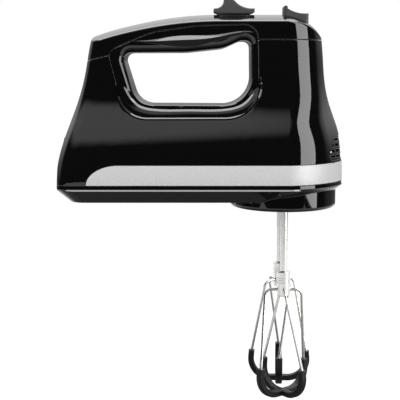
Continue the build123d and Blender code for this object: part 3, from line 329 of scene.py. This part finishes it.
def gloss_black_abs(colours, sizes, name, rounding):
    """Gloss black ABS of the shells and their moulded trim, with edges rounded to a radius."""
    # ABS from a polished tool: deep black and mirror-clear, with a trace of moulding ripple
    material, tree, shader, place = start_material(name, roughness=0.04, ior=1.54)
    shader.inputs["Base Color"].default_value = (*colours.body, 1)
    haze = add_node(tree, "ShaderNodeTexNoise", {"Scale": 1 / sizes.haze, "Detail": 4}, {"Vector": place})
    ripple = add_node(
        tree, "ShaderNodeTexNoise", {"Scale": 1 / sizes.ripple, "Detail": 0}, {"Vector": place}
    )
    edge = add_node(tree, "ShaderNodeBevel", {"Radius": rounding}, samples=8)
    show_pattern(tree, shader, haze.outputs["Fac"], roughness=(0.02, 0.05))
    show_pattern(tree, shader, ripple.outputs["Fac"], depth=0.00002, strength=0.5, edge=edge)
    return material


def satin_silver_paint(colours, sizes):
    """Silver paint of the trim band."""
    # Silver paint on a moulded trim: pale and satin, with fine flakes drawn coarse enough to show
    material, tree, shader, place = start_material("satin_silver_paint", roughness=0.48, metallic=0.08)
    flake = add_node(tree, "ShaderNodeTexVoronoi", {"Scale": 1 / sizes.flake}, {"Vector": place})
    edge = add_node(tree, "ShaderNodeBevel", {"Radius": sizes.band_edge}, samples=6)
    show_pattern(tree, shader, flake.outputs["Color"], tones=(colours.band, colours.band_flake))
    show_pattern(tree, shader, flake.outputs["Distance"], depth=0.00002, strength=0.3, edge=edge)
    return material


def grained_grey_abs(colours, sizes):
    """Grained grey ABS of the controls."""
    # ABS from a spark-eroded tool: matt dark grey grain, with a paler painted highlight on its rounded
    # edges
    material, tree, shader, place = start_material("grained_grey_abs", roughness=0.5, ior=1.53)
    grain = add_node(tree, "ShaderNodeTexNoise", {"Scale": 1 / sizes.grain, "Detail": 3}, {"Vector": place})
    edge = add_node(tree, "ShaderNodeBevel", {"Radius": sizes.seam_edge}, samples=8)
    flat = add_node(tree, "ShaderNodeNewGeometry")
    turn = add_node(
        tree,
        "ShaderNodeVectorMath",
        links={0: edge.outputs["Normal"], 1: flat.outputs["Normal"]},
        operation="DOT_PRODUCT",
    )
    # Painted highlight: the controls' rounded edges are drawn in the paler grey
    edge_highlight = add_node(
        tree,
        "ShaderNodeMapRange",
        {"From Min": HIGHLIGHT_START, "From Max": HIGHLIGHT_FULL, "To Min": 0.0, "To Max": HIGHLIGHT_SHARE},
        {"Value": turn.outputs["Value"]},
    )
    show_pattern(tree, shader, edge_highlight.outputs["Result"], tones=(colours.control, colours.control_edge_highlight))
    show_pattern(
        tree, shader, grain.outputs["Fac"], roughness=(0.42, 0.58), depth=0.00006, strength=0.5, edge=edge
    )
    return material


def matt_black_nylon(colours, sizes):
    """Matt black nylon of the inner mouldings."""
    # Glass-filled nylon as moulded: dry black with a pale fibre grain
    material, tree, shader, place = start_material("matt_black_nylon", roughness=0.6, ior=1.53)
    grain = add_node(tree, "ShaderNodeTexNoise", {"Scale": 1 / sizes.grain, "Detail": 5}, {"Vector": place})
    tones = (colours.inner, colours.inner_grain)
    show_pattern(
        tree, shader, grain.outputs["Fac"], tones, roughness=(0.5, 0.68), depth=0.00005, strength=0.5
    )
    return material


def soft_black_silicone(colours, sizes):
    """Soft silicone of the beaters' boots."""
    # Moulded silicone: satin black with a faint greyish bloom
    material, tree, shader, place = start_material("soft_black_silicone", roughness=0.45, ior=1.43)
    bloom = add_node(tree, "ShaderNodeTexNoise", {"Scale": 1 / sizes.bloom, "Detail": 4}, {"Vector": place})
    grain = add_node(tree, "ShaderNodeTexNoise", {"Scale": 1 / sizes.grain, "Detail": 2}, {"Vector": place})
    edge = add_node(tree, "ShaderNodeBevel", {"Radius": sizes.seam_edge}, samples=6)
    tones = (colours.boot, colours.boot_bloom)
    show_pattern(tree, shader, bloom.outputs["Fac"], tones, roughness=(0.36, 0.52))
    show_pattern(tree, shader, grain.outputs["Fac"], depth=0.00003, strength=0.4, edge=edge)
    return material


def black_pvc_sheath(colours, sizes):
    """Sheath of the supply lead."""
    # Extruded PVC: smooth black with dull patches from handling
    material, tree, shader, place = start_material("black_pvc_sheath", roughness=0.4, ior=1.53)
    bloom = add_node(tree, "ShaderNodeTexNoise", {"Scale": 1 / sizes.bloom, "Detail": 5}, {"Vector": place})
    tones = (colours.sheath, colours.sheath_dust)
    show_pattern(tree, shader, bloom.outputs["Fac"], tones, roughness=(0.3, 0.5))
    return material


def polished_stainless(colours, sizes):
    """Polished stainless steel of the beaters."""
    # Drawn and polished stainless: bright, with fine lines that run down the wire and dull it a little
    material, tree, shader, place = start_material("polished_stainless", roughness=0.2, metallic=1.0)
    shader.inputs["Base Color"].default_value = (*colours.stainless, 1)
    drawn = add_node(tree, "ShaderNodeMapping", {"Scale": (1, 1, DRAWN)}, {"Vector": place})
    lines = add_node(
        tree,
        "ShaderNodeTexNoise",
        {"Scale": 1 / sizes.line, "Detail": 2},
        {"Vector": drawn.outputs["Vector"]},
    )
    show_pattern(tree, shader, lines.outputs["Fac"], roughness=(0.2, 0.34), depth=0.00001, strength=0.4)
    return material


def ground_steel(colours, sizes):
    """Ground steel of shafts, worm, pins and spindles."""
    # Centreless-ground steel: bright grey, broken up by fine grinding marks
    material, tree, shader, place = start_material("ground_steel", roughness=0.3, metallic=1.0)
    shader.inputs["Base Color"].default_value = (*colours.steel, 1)
    lines = add_node(tree, "ShaderNodeTexNoise", {"Scale": 1 / sizes.line, "Detail": 4}, {"Vector": place})
    show_pattern(tree, shader, lines.outputs["Fac"], roughness=(0.22, 0.38), depth=0.00001, strength=0.5)
    return material


def drawn_spring_steel(colours, sizes):
    """Spring steel of springs and clips."""
    # Patented spring wire: grey, slightly oily, with dull drawing marks
    material, tree, shader, place = start_material("drawn_spring_steel", roughness=0.35, metallic=1.0)
    shader.inputs["Base Color"].default_value = (*colours.spring, 1)
    marks = add_node(tree, "ShaderNodeTexNoise", {"Scale": 1 / sizes.stain, "Detail": 6}, {"Vector": place})
    show_pattern(tree, shader, marks.outputs["Fac"], roughness=(0.25, 0.45))
    return material


def zinc_plated_steel(colours, sizes):
    """Zinc plate of screws and brackets."""
    # Bright zinc plate with a clear passivation: cool grey with warm clouds
    material, tree, shader, place = start_material("zinc_plated_steel", roughness=0.32, metallic=1.0)
    cloud = add_node(tree, "ShaderNodeTexNoise", {"Scale": 1 / sizes.stain, "Detail": 3}, {"Vector": place})
    tones = (colours.zinc, colours.zinc_tint)
    show_pattern(tree, shader, cloud.outputs["Fac"], tones, roughness=(0.26, 0.4))
    return material


def laminated_core_iron(colours, sizes):
    """Stacked sheets of the motor's cores."""
    # Varnished steel sheets stacked along the shaft: grey with dark lines between the sheets
    material, tree, shader, place = start_material("laminated_core_iron", roughness=0.45, metallic=0.8)
    sheets = add_node(
        tree,
        "ShaderNodeTexWave",
        {"Scale": 1 / (WAVE_TURN * sizes.sheet), "Distortion": 0.2, "Detail": 1},
        {"Vector": place},
        bands_direction="X",
    )
    tones = (colours.iron_gap, colours.iron)
    show_pattern(tree, shader, sheets.outputs["Fac"], tones, depth=0.0001, strength=0.6)
    return material


def lacquered_copper_wire(colours, sizes):
    """Windings of the motor."""
    # Enamelled copper wire wound in layers: warm, glossy strands with varnish between them
    material, tree, shader, place = start_material("lacquered_copper_wire", roughness=0.35, metallic=0.7)
    shader.inputs["Coat Weight"].default_value = 0.5
    strands = add_node(
        tree,
        "ShaderNodeTexWave",
        {"Scale": 1 / (WAVE_TURN * sizes.strand), "Distortion": 0.6, "Detail": 1},
        {"Vector": place},
        bands_direction="Z",
    )
    tones = (colours.copper_gap, colours.copper)
    show_pattern(tree, shader, strands.outputs["Fac"], tones, depth=0.0002, strength=0.8)
    return material


def turned_copper(colours, sizes):
    """Copper of the commutator."""
    # Turned copper: bright, with tool lines round the axis and a brown film from the brushes
    material, tree, shader, place = start_material("turned_copper", roughness=0.3, metallic=1.0)
    film = add_node(tree, "ShaderNodeTexNoise", {"Scale": 1 / sizes.stain, "Detail": 3}, {"Vector": place})
    tool = add_node(
        tree,
        "ShaderNodeTexWave",
        {"Scale": 1 / (WAVE_TURN * sizes.line)},
        {"Vector": place},
        bands_direction="X",
    )
    show_pattern(tree, shader, film.outputs["Fac"], tones=(colours.commutator, colours.copper))
    show_pattern(tree, shader, tool.outputs["Fac"], depth=0.00003, strength=0.5)
    return material


def sintered_bronze(colours, sizes):
    """Bronze of the bearings."""
    # Pressed and sintered bronze: dull gold with dark oily pores
    material, tree, shader, place = start_material("sintered_bronze", roughness=0.42, metallic=0.9)
    pores = add_node(tree, "ShaderNodeTexVoronoi", {"Scale": 1 / sizes.grit}, {"Vector": place})
    tones = (colours.bronze_pore, colours.bronze)
    show_pattern(tree, shader, pores.outputs["Distance"], tones, depth=0.00005, strength=0.6)
    return material


def pressed_brass(colours, sizes):
    """Brass of the brush holders."""
    # Brass pressed from strip: bright yellow with dull rolled clouds
    material, tree, shader, place = start_material("pressed_brass", roughness=0.3, metallic=1.0)
    cloud = add_node(tree, "ShaderNodeTexNoise", {"Scale": 1 / sizes.stain, "Detail": 5}, {"Vector": place})
    tones = (colours.brass, colours.bronze)
    show_pattern(tree, shader, cloud.outputs["Fac"], tones, roughness=(0.22, 0.42))
    return material


def pressed_carbon(colours, sizes):
    """Carbon of the brushes."""
    # Pressed carbon: dull black with bright graphite grains
    material, tree, shader, place = start_material("pressed_carbon", roughness=0.55, ior=1.6)
    grains = add_node(tree, "ShaderNodeTexVoronoi", {"Scale": 1 / sizes.graphite}, {"Vector": place})
    show_pattern(tree, shader, grains.outputs["Color"], tones=(colours.carbon, colours.carbon_spark))
    show_pattern(tree, shader, grains.outputs["Distance"], roughness=(0.4, 0.65))
    return material


def cast_aluminium(colours, sizes):
    """Die-cast frame of the gearbox."""
    # Die-cast aluminium as it leaves the tool: pale grey, satin, with a fine grit
    material, tree, shader, place = start_material("cast_aluminium", roughness=0.45, metallic=1.0)
    shader.inputs["Base Color"].default_value = (*colours.aluminium, 1)
    grit = add_node(tree, "ShaderNodeTexNoise", {"Scale": 1 / sizes.grit, "Detail": 5}, {"Vector": place})
    show_pattern(tree, shader, grit.outputs["Fac"], roughness=(0.35, 0.55), depth=0.0001, strength=0.6)
    return material


def natural_nylon(colours, sizes):
    """White nylon of the drive gears."""
    # Unfilled nylon: waxy white, a little translucent, with warm flow marks
    material, tree, shader, place = start_material("natural_nylon", roughness=0.4, ior=1.53)
    shader.inputs["Subsurface Weight"].default_value = 0.2
    shader.inputs["Subsurface Radius"].default_value = (0.002, 0.0018, 0.0014)
    flow = add_node(tree, "ShaderNodeTexNoise", {"Scale": 1 / sizes.stain, "Detail": 3}, {"Vector": place})
    tones = (colours.nylon, colours.nylon_tint)
    show_pattern(tree, shader, flow.outputs["Fac"], tones, roughness=(0.34, 0.48))
    return material


def green_circuit_board(colours, sizes):
    """Lacquered control board."""
    # Glass-fibre board under green solder lacquer, with the paler copper tracks showing through
    material, tree, shader, place = start_material("green_circuit_board", roughness=0.3, ior=1.5)
    tracks = add_node(
        tree,
        "ShaderNodeTexVoronoi",
        {"Scale": 1 / sizes.track, "Randomness": 0.6},
        {"Vector": place},
        distance="CHEBYCHEV",
    )
    tones = (colours.track, colours.board)
    show_pattern(tree, shader, tracks.outputs["Distance"], tones, depth=0.00005, strength=0.4)
    return material


class MIXER_OT_body(bpy.types.Operator):
    """Gloss black shells, vent insert and silver band"""

    bl_idname = "mixer.body"
    bl_label = "Body shells"

    def execute(self, context):
        colours = context.scene.mixer_colours
        sizes = context.scene.mixer_sizes
        shells = ["main_housing", "handle_cover", "grip_ring", "bottom_housing", "vent_grille"]
        dress(shells, gloss_black_abs(colours, sizes, "gloss_black_abs", sizes.seam_edge))
        dress(["trim_band"], satin_silver_paint(colours, sizes))
        return {"FINISHED"}


def smooth_path(context, name, knots, steps):
    """Smooth line through knots: handle before, place, handle after and the share of the section there."""
    path = bpy.data.curves.new(name, "CURVE")
    path.dimensions = "3D"
    path.twist_mode = "Z_UP"
    path.resolution_u = steps
    path.use_fill_caps = True
    spline = path.splines.new("BEZIER")
    spline.bezier_points.add(len(knots) - 1)
    for point, (before, place, after, share) in zip(spline.bezier_points, knots):
        point.handle_left, point.co, point.handle_right = before, place, after
        point.radius = share
    line = bpy.data.objects.new(name, path)
    context.scene.collection.objects.link(line)
    return line


def round_corners(corners, radii):
    """Knots of a line with rounded corners, between its first and last point."""
    knots = [(corners[0], corners[0], corners[0], 1)]
    for before, corner, after, radius in zip(corners, corners[1:], corners[2:], radii):
        back = (before - corner).normalized()
        ahead = (after - corner).normalized()
        half = back.angle(ahead) / 2
        run = radius / math.tan(half)
        pull = run - radius * 4 / 3 * math.tan((math.pi / 2 - half) / 2)
        start = corner + run * back
        end = corner + run * ahead
        knots.append((start, start, corner + pull * back, 1))
        knots.append((corner + pull * ahead, end, end, 1))
    knots.append((corners[-1], corners[-1], corners[-1], 1))
    return knots


def lip_knots():
    """Knots of the lip's plan, from the heel round the nose and back; the sides are in half widths."""
    near = [[(x, -y) for x, y in knot[:3]] + [knot[3]] for knot in LIP_SIDE]
    far = [[*knot[2::-1], knot[3]] for knot in reversed(LIP_SIDE)]
    return [
        [*(Vector((x, y * LIP_HALF, LIP_HEIGHT)) for x, y in knot[:3]), knot[3]]
        for knot in (*near, LIP_TIP, *far)
    ]


def as_mesh(context, line):
    """Turns a line with a section into a mesh piece of the same name."""
    name = line.name
    mesh = bpy.data.meshes.new_from_object(line.evaluated_get(context.evaluated_depsgraph_get()))
    bpy.data.objects.remove(line)
    mesh.name = name
    mesh.set_sharp_from_angle(angle=SHARP_TURN)
    piece = bpy.data.objects.new(name, mesh)
    context.scene.collection.objects.link(piece)
    return piece


def make_lip(context, sizes):
    """Moulded lip under the silver band: its section along the lower shell's plan."""
    section = bpy.data.curves.new("lip_section", "CURVE")
    outline = section.splines.new("POLY")
    outline.use_cyclic_u = True
    outline.points.add(len(LIP_SECTION) - 1)
    for point, (out, up) in zip(outline.points, LIP_SECTION):
        point.co = (out * sizes.ledge, up * sizes.ledge, 0, 1)
    profile = bpy.data.objects.new("lip_section", section)
    context.scene.collection.objects.link(profile)
    ledge = smooth_path(context, "lip_ledge", lip_knots(), LIP_STEPS)
    ledge.data.bevel_mode = "OBJECT"
    ledge.data.bevel_object = profile
    lip = as_mesh(context, ledge)
    bpy.data.objects.remove(profile)
    return lip


def make_beads(context, sizes):
    """Moulded beads along the seam under the grip ring, one on each side of the housing."""
    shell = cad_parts["main_housing"].data
    skin = BVHTree.FromPolygons(
        [vertex.co for vertex in shell.vertices], [face.vertices for face in shell.polygons]
    )
    corners = [Vector((x, 0, z)) for x, z in SEAM_CORNERS]
    seam = smooth_path(context, "seam_guide", round_corners(corners, SEAM_RADII), SEAM_STEPS)
    guide = as_mesh(context, seam)
    places = [vertex.co.copy() for vertex in guide.data.vertices]
    bpy.data.objects.remove(guide)
    last = len(places) - 1
    beads = []
    for side, name in ((-1, "ring_bead_right"), (1, "ring_bead_left")):
        out = Vector((0, side, 0))
        knots = []
        for step, place in enumerate(places):
            hit = skin.ray_cast(place + OUTSIDE * out, -out)[0]
            if hit is None:
                raise RuntimeError("The bead under the grip ring found no housing")
            middle = hit - sizes.bead_depth * out
            share = min(1, BEAD_END + BEAD_RISE * min(step, last - step) / last)
            knots.append((middle, middle, middle, share))
        bead = smooth_path(context, name, knots, 1)
        bead.data.bevel_depth = sizes.bead
        bead.data.bevel_resolution = BEAD_STEPS
        beads.append(as_mesh(context, bead))
    return beads


class MIXER_OT_beads(bpy.types.Operator):
    """Moulded lip ledge and the beads under the grip ring"""

    bl_idname = "mixer.beads"
    bl_label = "Moulded beads"

    def execute(self, context):
        colours = context.scene.mixer_colours
        sizes = context.scene.mixer_sizes
        trim = gloss_black_abs(colours, sizes, "gloss_black_abs_trim", sizes.trim_edge)
        for piece in (make_lip(context, sizes), *make_beads(context, sizes)):
            piece.data.materials.append(trim)
            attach(piece, "housing")
        return {"FINISHED"}


class MIXER_OT_controls(bpy.types.Operator):
    """Speed knob, ejector button, gland and what they move"""

    bl_idname = "mixer.controls"
    bl_label = "Controls"

    def execute(self, context):
        colours = context.scene.mixer_colours
        sizes = context.scene.mixer_sizes
        mouldings = [
            "cord_gland",
            "slide_shield",
            "speed_switch",
            "ejector_yoke",
            "ejector_guide",
            "cooling_fan",
        ]
        dress(["speed_knob", "ejector_button"], grained_grey_abs(colours, sizes))
        dress(mouldings, matt_black_nylon(colours, sizes))
        dress(["control_board"], green_circuit_board(colours, sizes))
        dress(["supply_lead"], black_pvc_sheath(colours, sizes))
        return {"FINISHED"}


class MIXER_OT_beaters(bpy.types.Operator):
    """Shafts, hubs, wires and boots of both beaters"""

    bl_idname = "mixer.beaters"
    bl_label = "Beaters"

    def execute(self, context):
        colours = context.scene.mixer_colours
        sizes = context.scene.mixer_sizes
        sides = ("left", "right")
        metal = [f"beater_{part}_{side}" for part in ("shaft", "hub", "wires") for side in sides]
        dress(metal, polished_stainless(colours, sizes))
        dress([f"beater_boots_{side}" for side in sides], soft_black_silicone(colours, sizes))
        return {"FINISHED"}


class MIXER_OT_motor(bpy.types.Operator):
    """Cores, windings, commutator, brushes and bearings"""

    bl_idname = "mixer.motor"
    bl_label = "Motor"

    def execute(self, context):
        colours = context.scene.mixer_colours
        sizes = context.scene.mixer_sizes
        bearings = ["rear_bearing", "front_bearing", "nose_bearing", "spindle_bushes"]
        dress(["stator_core", "armature_core"], laminated_core_iron(colours, sizes))
        dress(["field_coils", "armature_windings"], lacquered_copper_wire(colours, sizes))
        dress(["commutator"], turned_copper(colours, sizes))
        dress(["brush_holders"], pressed_brass(colours, sizes))
        dress(["carbon_brushes"], pressed_carbon(colours, sizes))
        dress(bearings, sintered_bronze(colours, sizes))
        return {"FINISHED"}


class MIXER_OT_drive(bpy.types.Operator):
    """Worm, gears, spindles, gearbox frame, springs and screws"""

    bl_idname = "mixer.drive"
    bl_label = "Drive"

    def execute(self, context):
        colours = context.scene.mixer_colours
        sizes = context.scene.mixer_sizes
        ground = [
            "motor_shaft",
            "worm",
            "spindle_left",
            "spindle_right",
            "ejector_pin_left",
            "ejector_pin_right",
        ]
        sprung = ["ejector_spring", "brush_springs", "spindle_clip_left", "spindle_clip_right"]
        plated = ["housing_screws", "rear_bracket", "tie_rods", "gearbox_screws"]
        dress(ground, ground_steel(colours, sizes))
        dress(sprung, drawn_spring_steel(colours, sizes))
        dress(plated, zinc_plated_steel(colours, sizes))
        dress(["gearbox_frame"], cast_aluminium(colours, sizes))
        dress(["drive_gear_left", "drive_gear_right"], natural_nylon(colours, sizes))
        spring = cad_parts["ejector_spring"]
        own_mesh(spring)
        return {"FINISHED"}


def floor_material(colours, stage):
    """Pale floor that shows white to the camera and keeps the shadow."""
    # Painted studio floor: matt, white to the camera; in the gloss grey close to the mixer, where a painted
    # shade holds its glow back
    material, tree, shader, place = start_material("pale_studio_floor", roughness=0.8)
    shader.inputs["Base Color"].default_value = (*colours.floor, 1)
    shader.inputs["Specular IOR Level"].default_value = 0.0
    shader.inputs["Emission Color"].default_value = WHITE
    path = add_node(tree, "ShaderNodeLightPath")
    # Painted shade: within the shade's reach of the mixer the floor's glow is held back from the gloss
    reach = add_node(tree, "ShaderNodeVectorMath", links={0: place}, operation="LENGTH")
    away = add_node(
        tree,
        "ShaderNodeMapRange",
        {"From Min": stage.shade, "From Max": SHADE_END * stage.shade},
        {"Value": reach.outputs["Value"]},
    )
    clear = add_node(
        tree,
        "ShaderNodeMath",
        links={0: path.outputs["Is Camera Ray"], 1: path.outputs["Is Transmission Ray"]},
        operation="MAXIMUM",
    )
    shown = add_node(
        tree,
        "ShaderNodeMath",
        links={0: path.outputs["Is Glossy Ray"], 1: away.outputs["Result"], 2: clear.outputs["Value"]},
        operation="MULTIPLY_ADD",
    )
    add_node(
        tree,
        "ShaderNodeMath",
        {1: stage.glow},
        {0: shown.outputs["Value"]},
        to=shader.inputs["Emission Strength"],
        operation="MULTIPLY",
    )
    return material


def studio_room(scene, stage):
    """White room for the camera; for the gloss a pale back, a dark front and a bright upper part."""
    world = bpy.data.worlds.new("studio_room")
    scene.world = world
    world.use_nodes = True
    tree = world.node_tree
    shader = tree.nodes["Background"]
    shader.inputs["Color"].default_value = WHITE
    path = add_node(tree, "ShaderNodeLightPath")
    room = add_node(tree, "ShaderNodeTexCoord")
    way = add_node(tree, "ShaderNodeSeparateXYZ", links={"Vector": room.outputs["Generated"]})
    lean = add_node(
        tree,
        "ShaderNodeMapRange",
        {"From Min": LEAN_START, "To Min": -LEAN_START * stage.tilt, "To Max": -stage.tilt},
        {"Value": way.outputs["X"]},
    )
    climb = add_node(
        tree,
        "ShaderNodeMath",
        links={0: way.outputs["Z"], 1: lean.outputs["Result"]},
        operation="ADD",
    )
    upper = add_node(
        tree,
        "ShaderNodeMapRange",
        {"From Min": UPPER_START, "From Max": UPPER_FULL, "To Min": DARK_FRONT, "To Max": stage.ramp},
        {"Value": climb.outputs["Value"]},
        interpolation_type="SMOOTHSTEP",
    )
    behind = add_node(
        tree,
        "ShaderNodeMapRange",
        {"From Min": 0.0, "From Max": CEILING_HEIGHT, "To Min": stage.wall, "To Max": stage.ceiling},
        {"Value": way.outputs["Z"]},
    )
    back = add_node(
        tree,
        "ShaderNodeMapRange",
        {"From Min": BACK_START, "From Max": BACK_FULL},
        {"Value": way.outputs["Y"], "To Max": behind.outputs["Result"]},
    )
    gloss = add_node(
        tree,
        "ShaderNodeMath",
        links={0: upper.outputs["Result"], 1: back.outputs["Result"]},
        operation="MAXIMUM",
    )
    walls = add_node(
        tree,
        "ShaderNodeMapRange",
        {
            "From Min": WALL_TOP,
            "From Max": FILL_END,
            "To Min": stage.fill,
            "To Max": stage.rest * stage.fill,
        },
        {"Value": way.outputs["Z"]},
    )
    light = add_node(
        tree,
        "ShaderNodeMapRange",
        links={
            "Value": path.outputs["Is Glossy Ray"],
            "To Min": walls.outputs["Result"],
            "To Max": gloss.outputs["Value"],
        },
    )
    clear = add_node(
        tree,
        "ShaderNodeMath",
        links={0: path.outputs["Is Camera Ray"], 1: path.outputs["Is Transmission Ray"]},
        operation="MAXIMUM",
    )
    add_node(
        tree,
        "ShaderNodeMapRange",
        {"To Max": 1.0},
        {"Value": clear.outputs["Value"], "To Min": light.outputs["Result"]},
        to=shader.inputs["Strength"],
    )


def soft_box(scene, name, box, power, gloss):
    """Rectangular studio light that the camera doesn't see, for gloss or for matt surfaces alone."""
    place, target, size = box
    light = bpy.data.lights.new(name, "AREA")
    light.shape = "RECTANGLE"
    light.size, light.size_y = size
    light.energy = power
    lamp = bpy.data.objects.new(name, light)
    lamp.location = place
    lamp.rotation_euler = (Vector(target) - Vector(place)).to_track_quat("-Z", "Y").to_euler()
    lamp.visible_camera = False
    lamp.visible_glossy = gloss
    lamp.visible_diffuse = not gloss
    scene.collection.objects.link(lamp)


class MIXER_OT_stage(bpy.types.Operator):
    """Pale floor, soft studio light and camera"""

    bl_idname = "mixer.stage"
    bl_label = "Stage"

    def execute(self, context):
        scene = context.scene
        stage = scene.mixer_stage
        bm = bmesh.new()
        bmesh.ops.create_grid(bm, x_segments=1, y_segments=1, size=stage.floor_half)
        bmesh.ops.translate(bm, vec=(0, 0, cad_box[0][2] - stage.drop), verts=bm.verts)
        mesh = bpy.data.meshes.new("studio_floor")
        bm.to_mesh(mesh)
        bm.free()
        floor = bpy.data.objects.new("studio_floor", mesh)
        floor.data.materials.append(floor_material(scene.mixer_colours, stage))
        scene.collection.objects.link(floor)

        studio_room(scene, stage)
        soft_box(scene, "strip_box", STRIP_BOX, stage.strip_power, gloss=True)
        soft_box(scene, "top_box", TOP_BOX, stage.top_power, gloss=True)
        soft_box(scene, "key_box", KEY_BOX, stage.key_power, gloss=False)

        camera = bpy.data.cameras.new("photo_camera")
        camera.lens = CAMERA_LENS
        camera.sensor_width = CAMERA_SENSOR
        view = bpy.data.objects.new("photo_camera", camera)
        view.location = CAMERA_PLACE
        view.rotation_euler = (CAMERA_TILT, 0, 0)
        scene.collection.objects.link(view)
        scene.camera = view
        scene.view_settings.view_transform = "Standard"
        return {"FINISHED"}


class MIXER_PT_panel(bpy.types.Panel):
    """Mixer tools in the sidebar"""

    bl_idname = "MIXER_PT_panel"
    bl_label = "Hand mixer"
    bl_space_type = "VIEW_3D"
    bl_region_type = "UI"
    bl_category = "Mixer"

    def draw(self, context):
        for operator in OPERATORS:
            self.layout.operator(operator.bl_idname)
        scene = context.scene
        for group in (scene.mixer_colours, scene.mixer_sizes, scene.mixer_stage):
            box = self.layout.box()
            for name in group.__annotations__:
                box.prop(group, name)


GROUPS = (MixerColours, MixerSizes, MixerStage)
OPERATORS = (
    MIXER_OT_body,
    MIXER_OT_beads,
    MIXER_OT_controls,
    MIXER_OT_beaters,
    MIXER_OT_motor,
    MIXER_OT_drive,
    MIXER_OT_stage,
)


def register():
    for kind in (*GROUPS, *OPERATORS, MIXER_PT_panel):
        bpy.utils.register_class(kind)
    bpy.types.Scene.mixer_colours = bpy.props.PointerProperty(type=MixerColours)
    bpy.types.Scene.mixer_sizes = bpy.props.PointerProperty(type=MixerSizes)
    bpy.types.Scene.mixer_stage = bpy.props.PointerProperty(type=MixerStage)


def unregister():
    del bpy.types.Scene.mixer_stage
    del bpy.types.Scene.mixer_sizes
    del bpy.types.Scene.mixer_colours
    for kind in (MIXER_PT_panel, *reversed(OPERATORS), *reversed(GROUPS)):
        bpy.utils.unregister_class(kind)


def main():
    register()
    bpy.ops.mixer.body()
    bpy.ops.mixer.beads()
    bpy.ops.mixer.controls()
    bpy.ops.mixer.beaters()
    bpy.ops.mixer.motor()
    bpy.ops.mixer.drive()
    bpy.ops.mixer.stage()


if __name__ == "__main__":
    main()
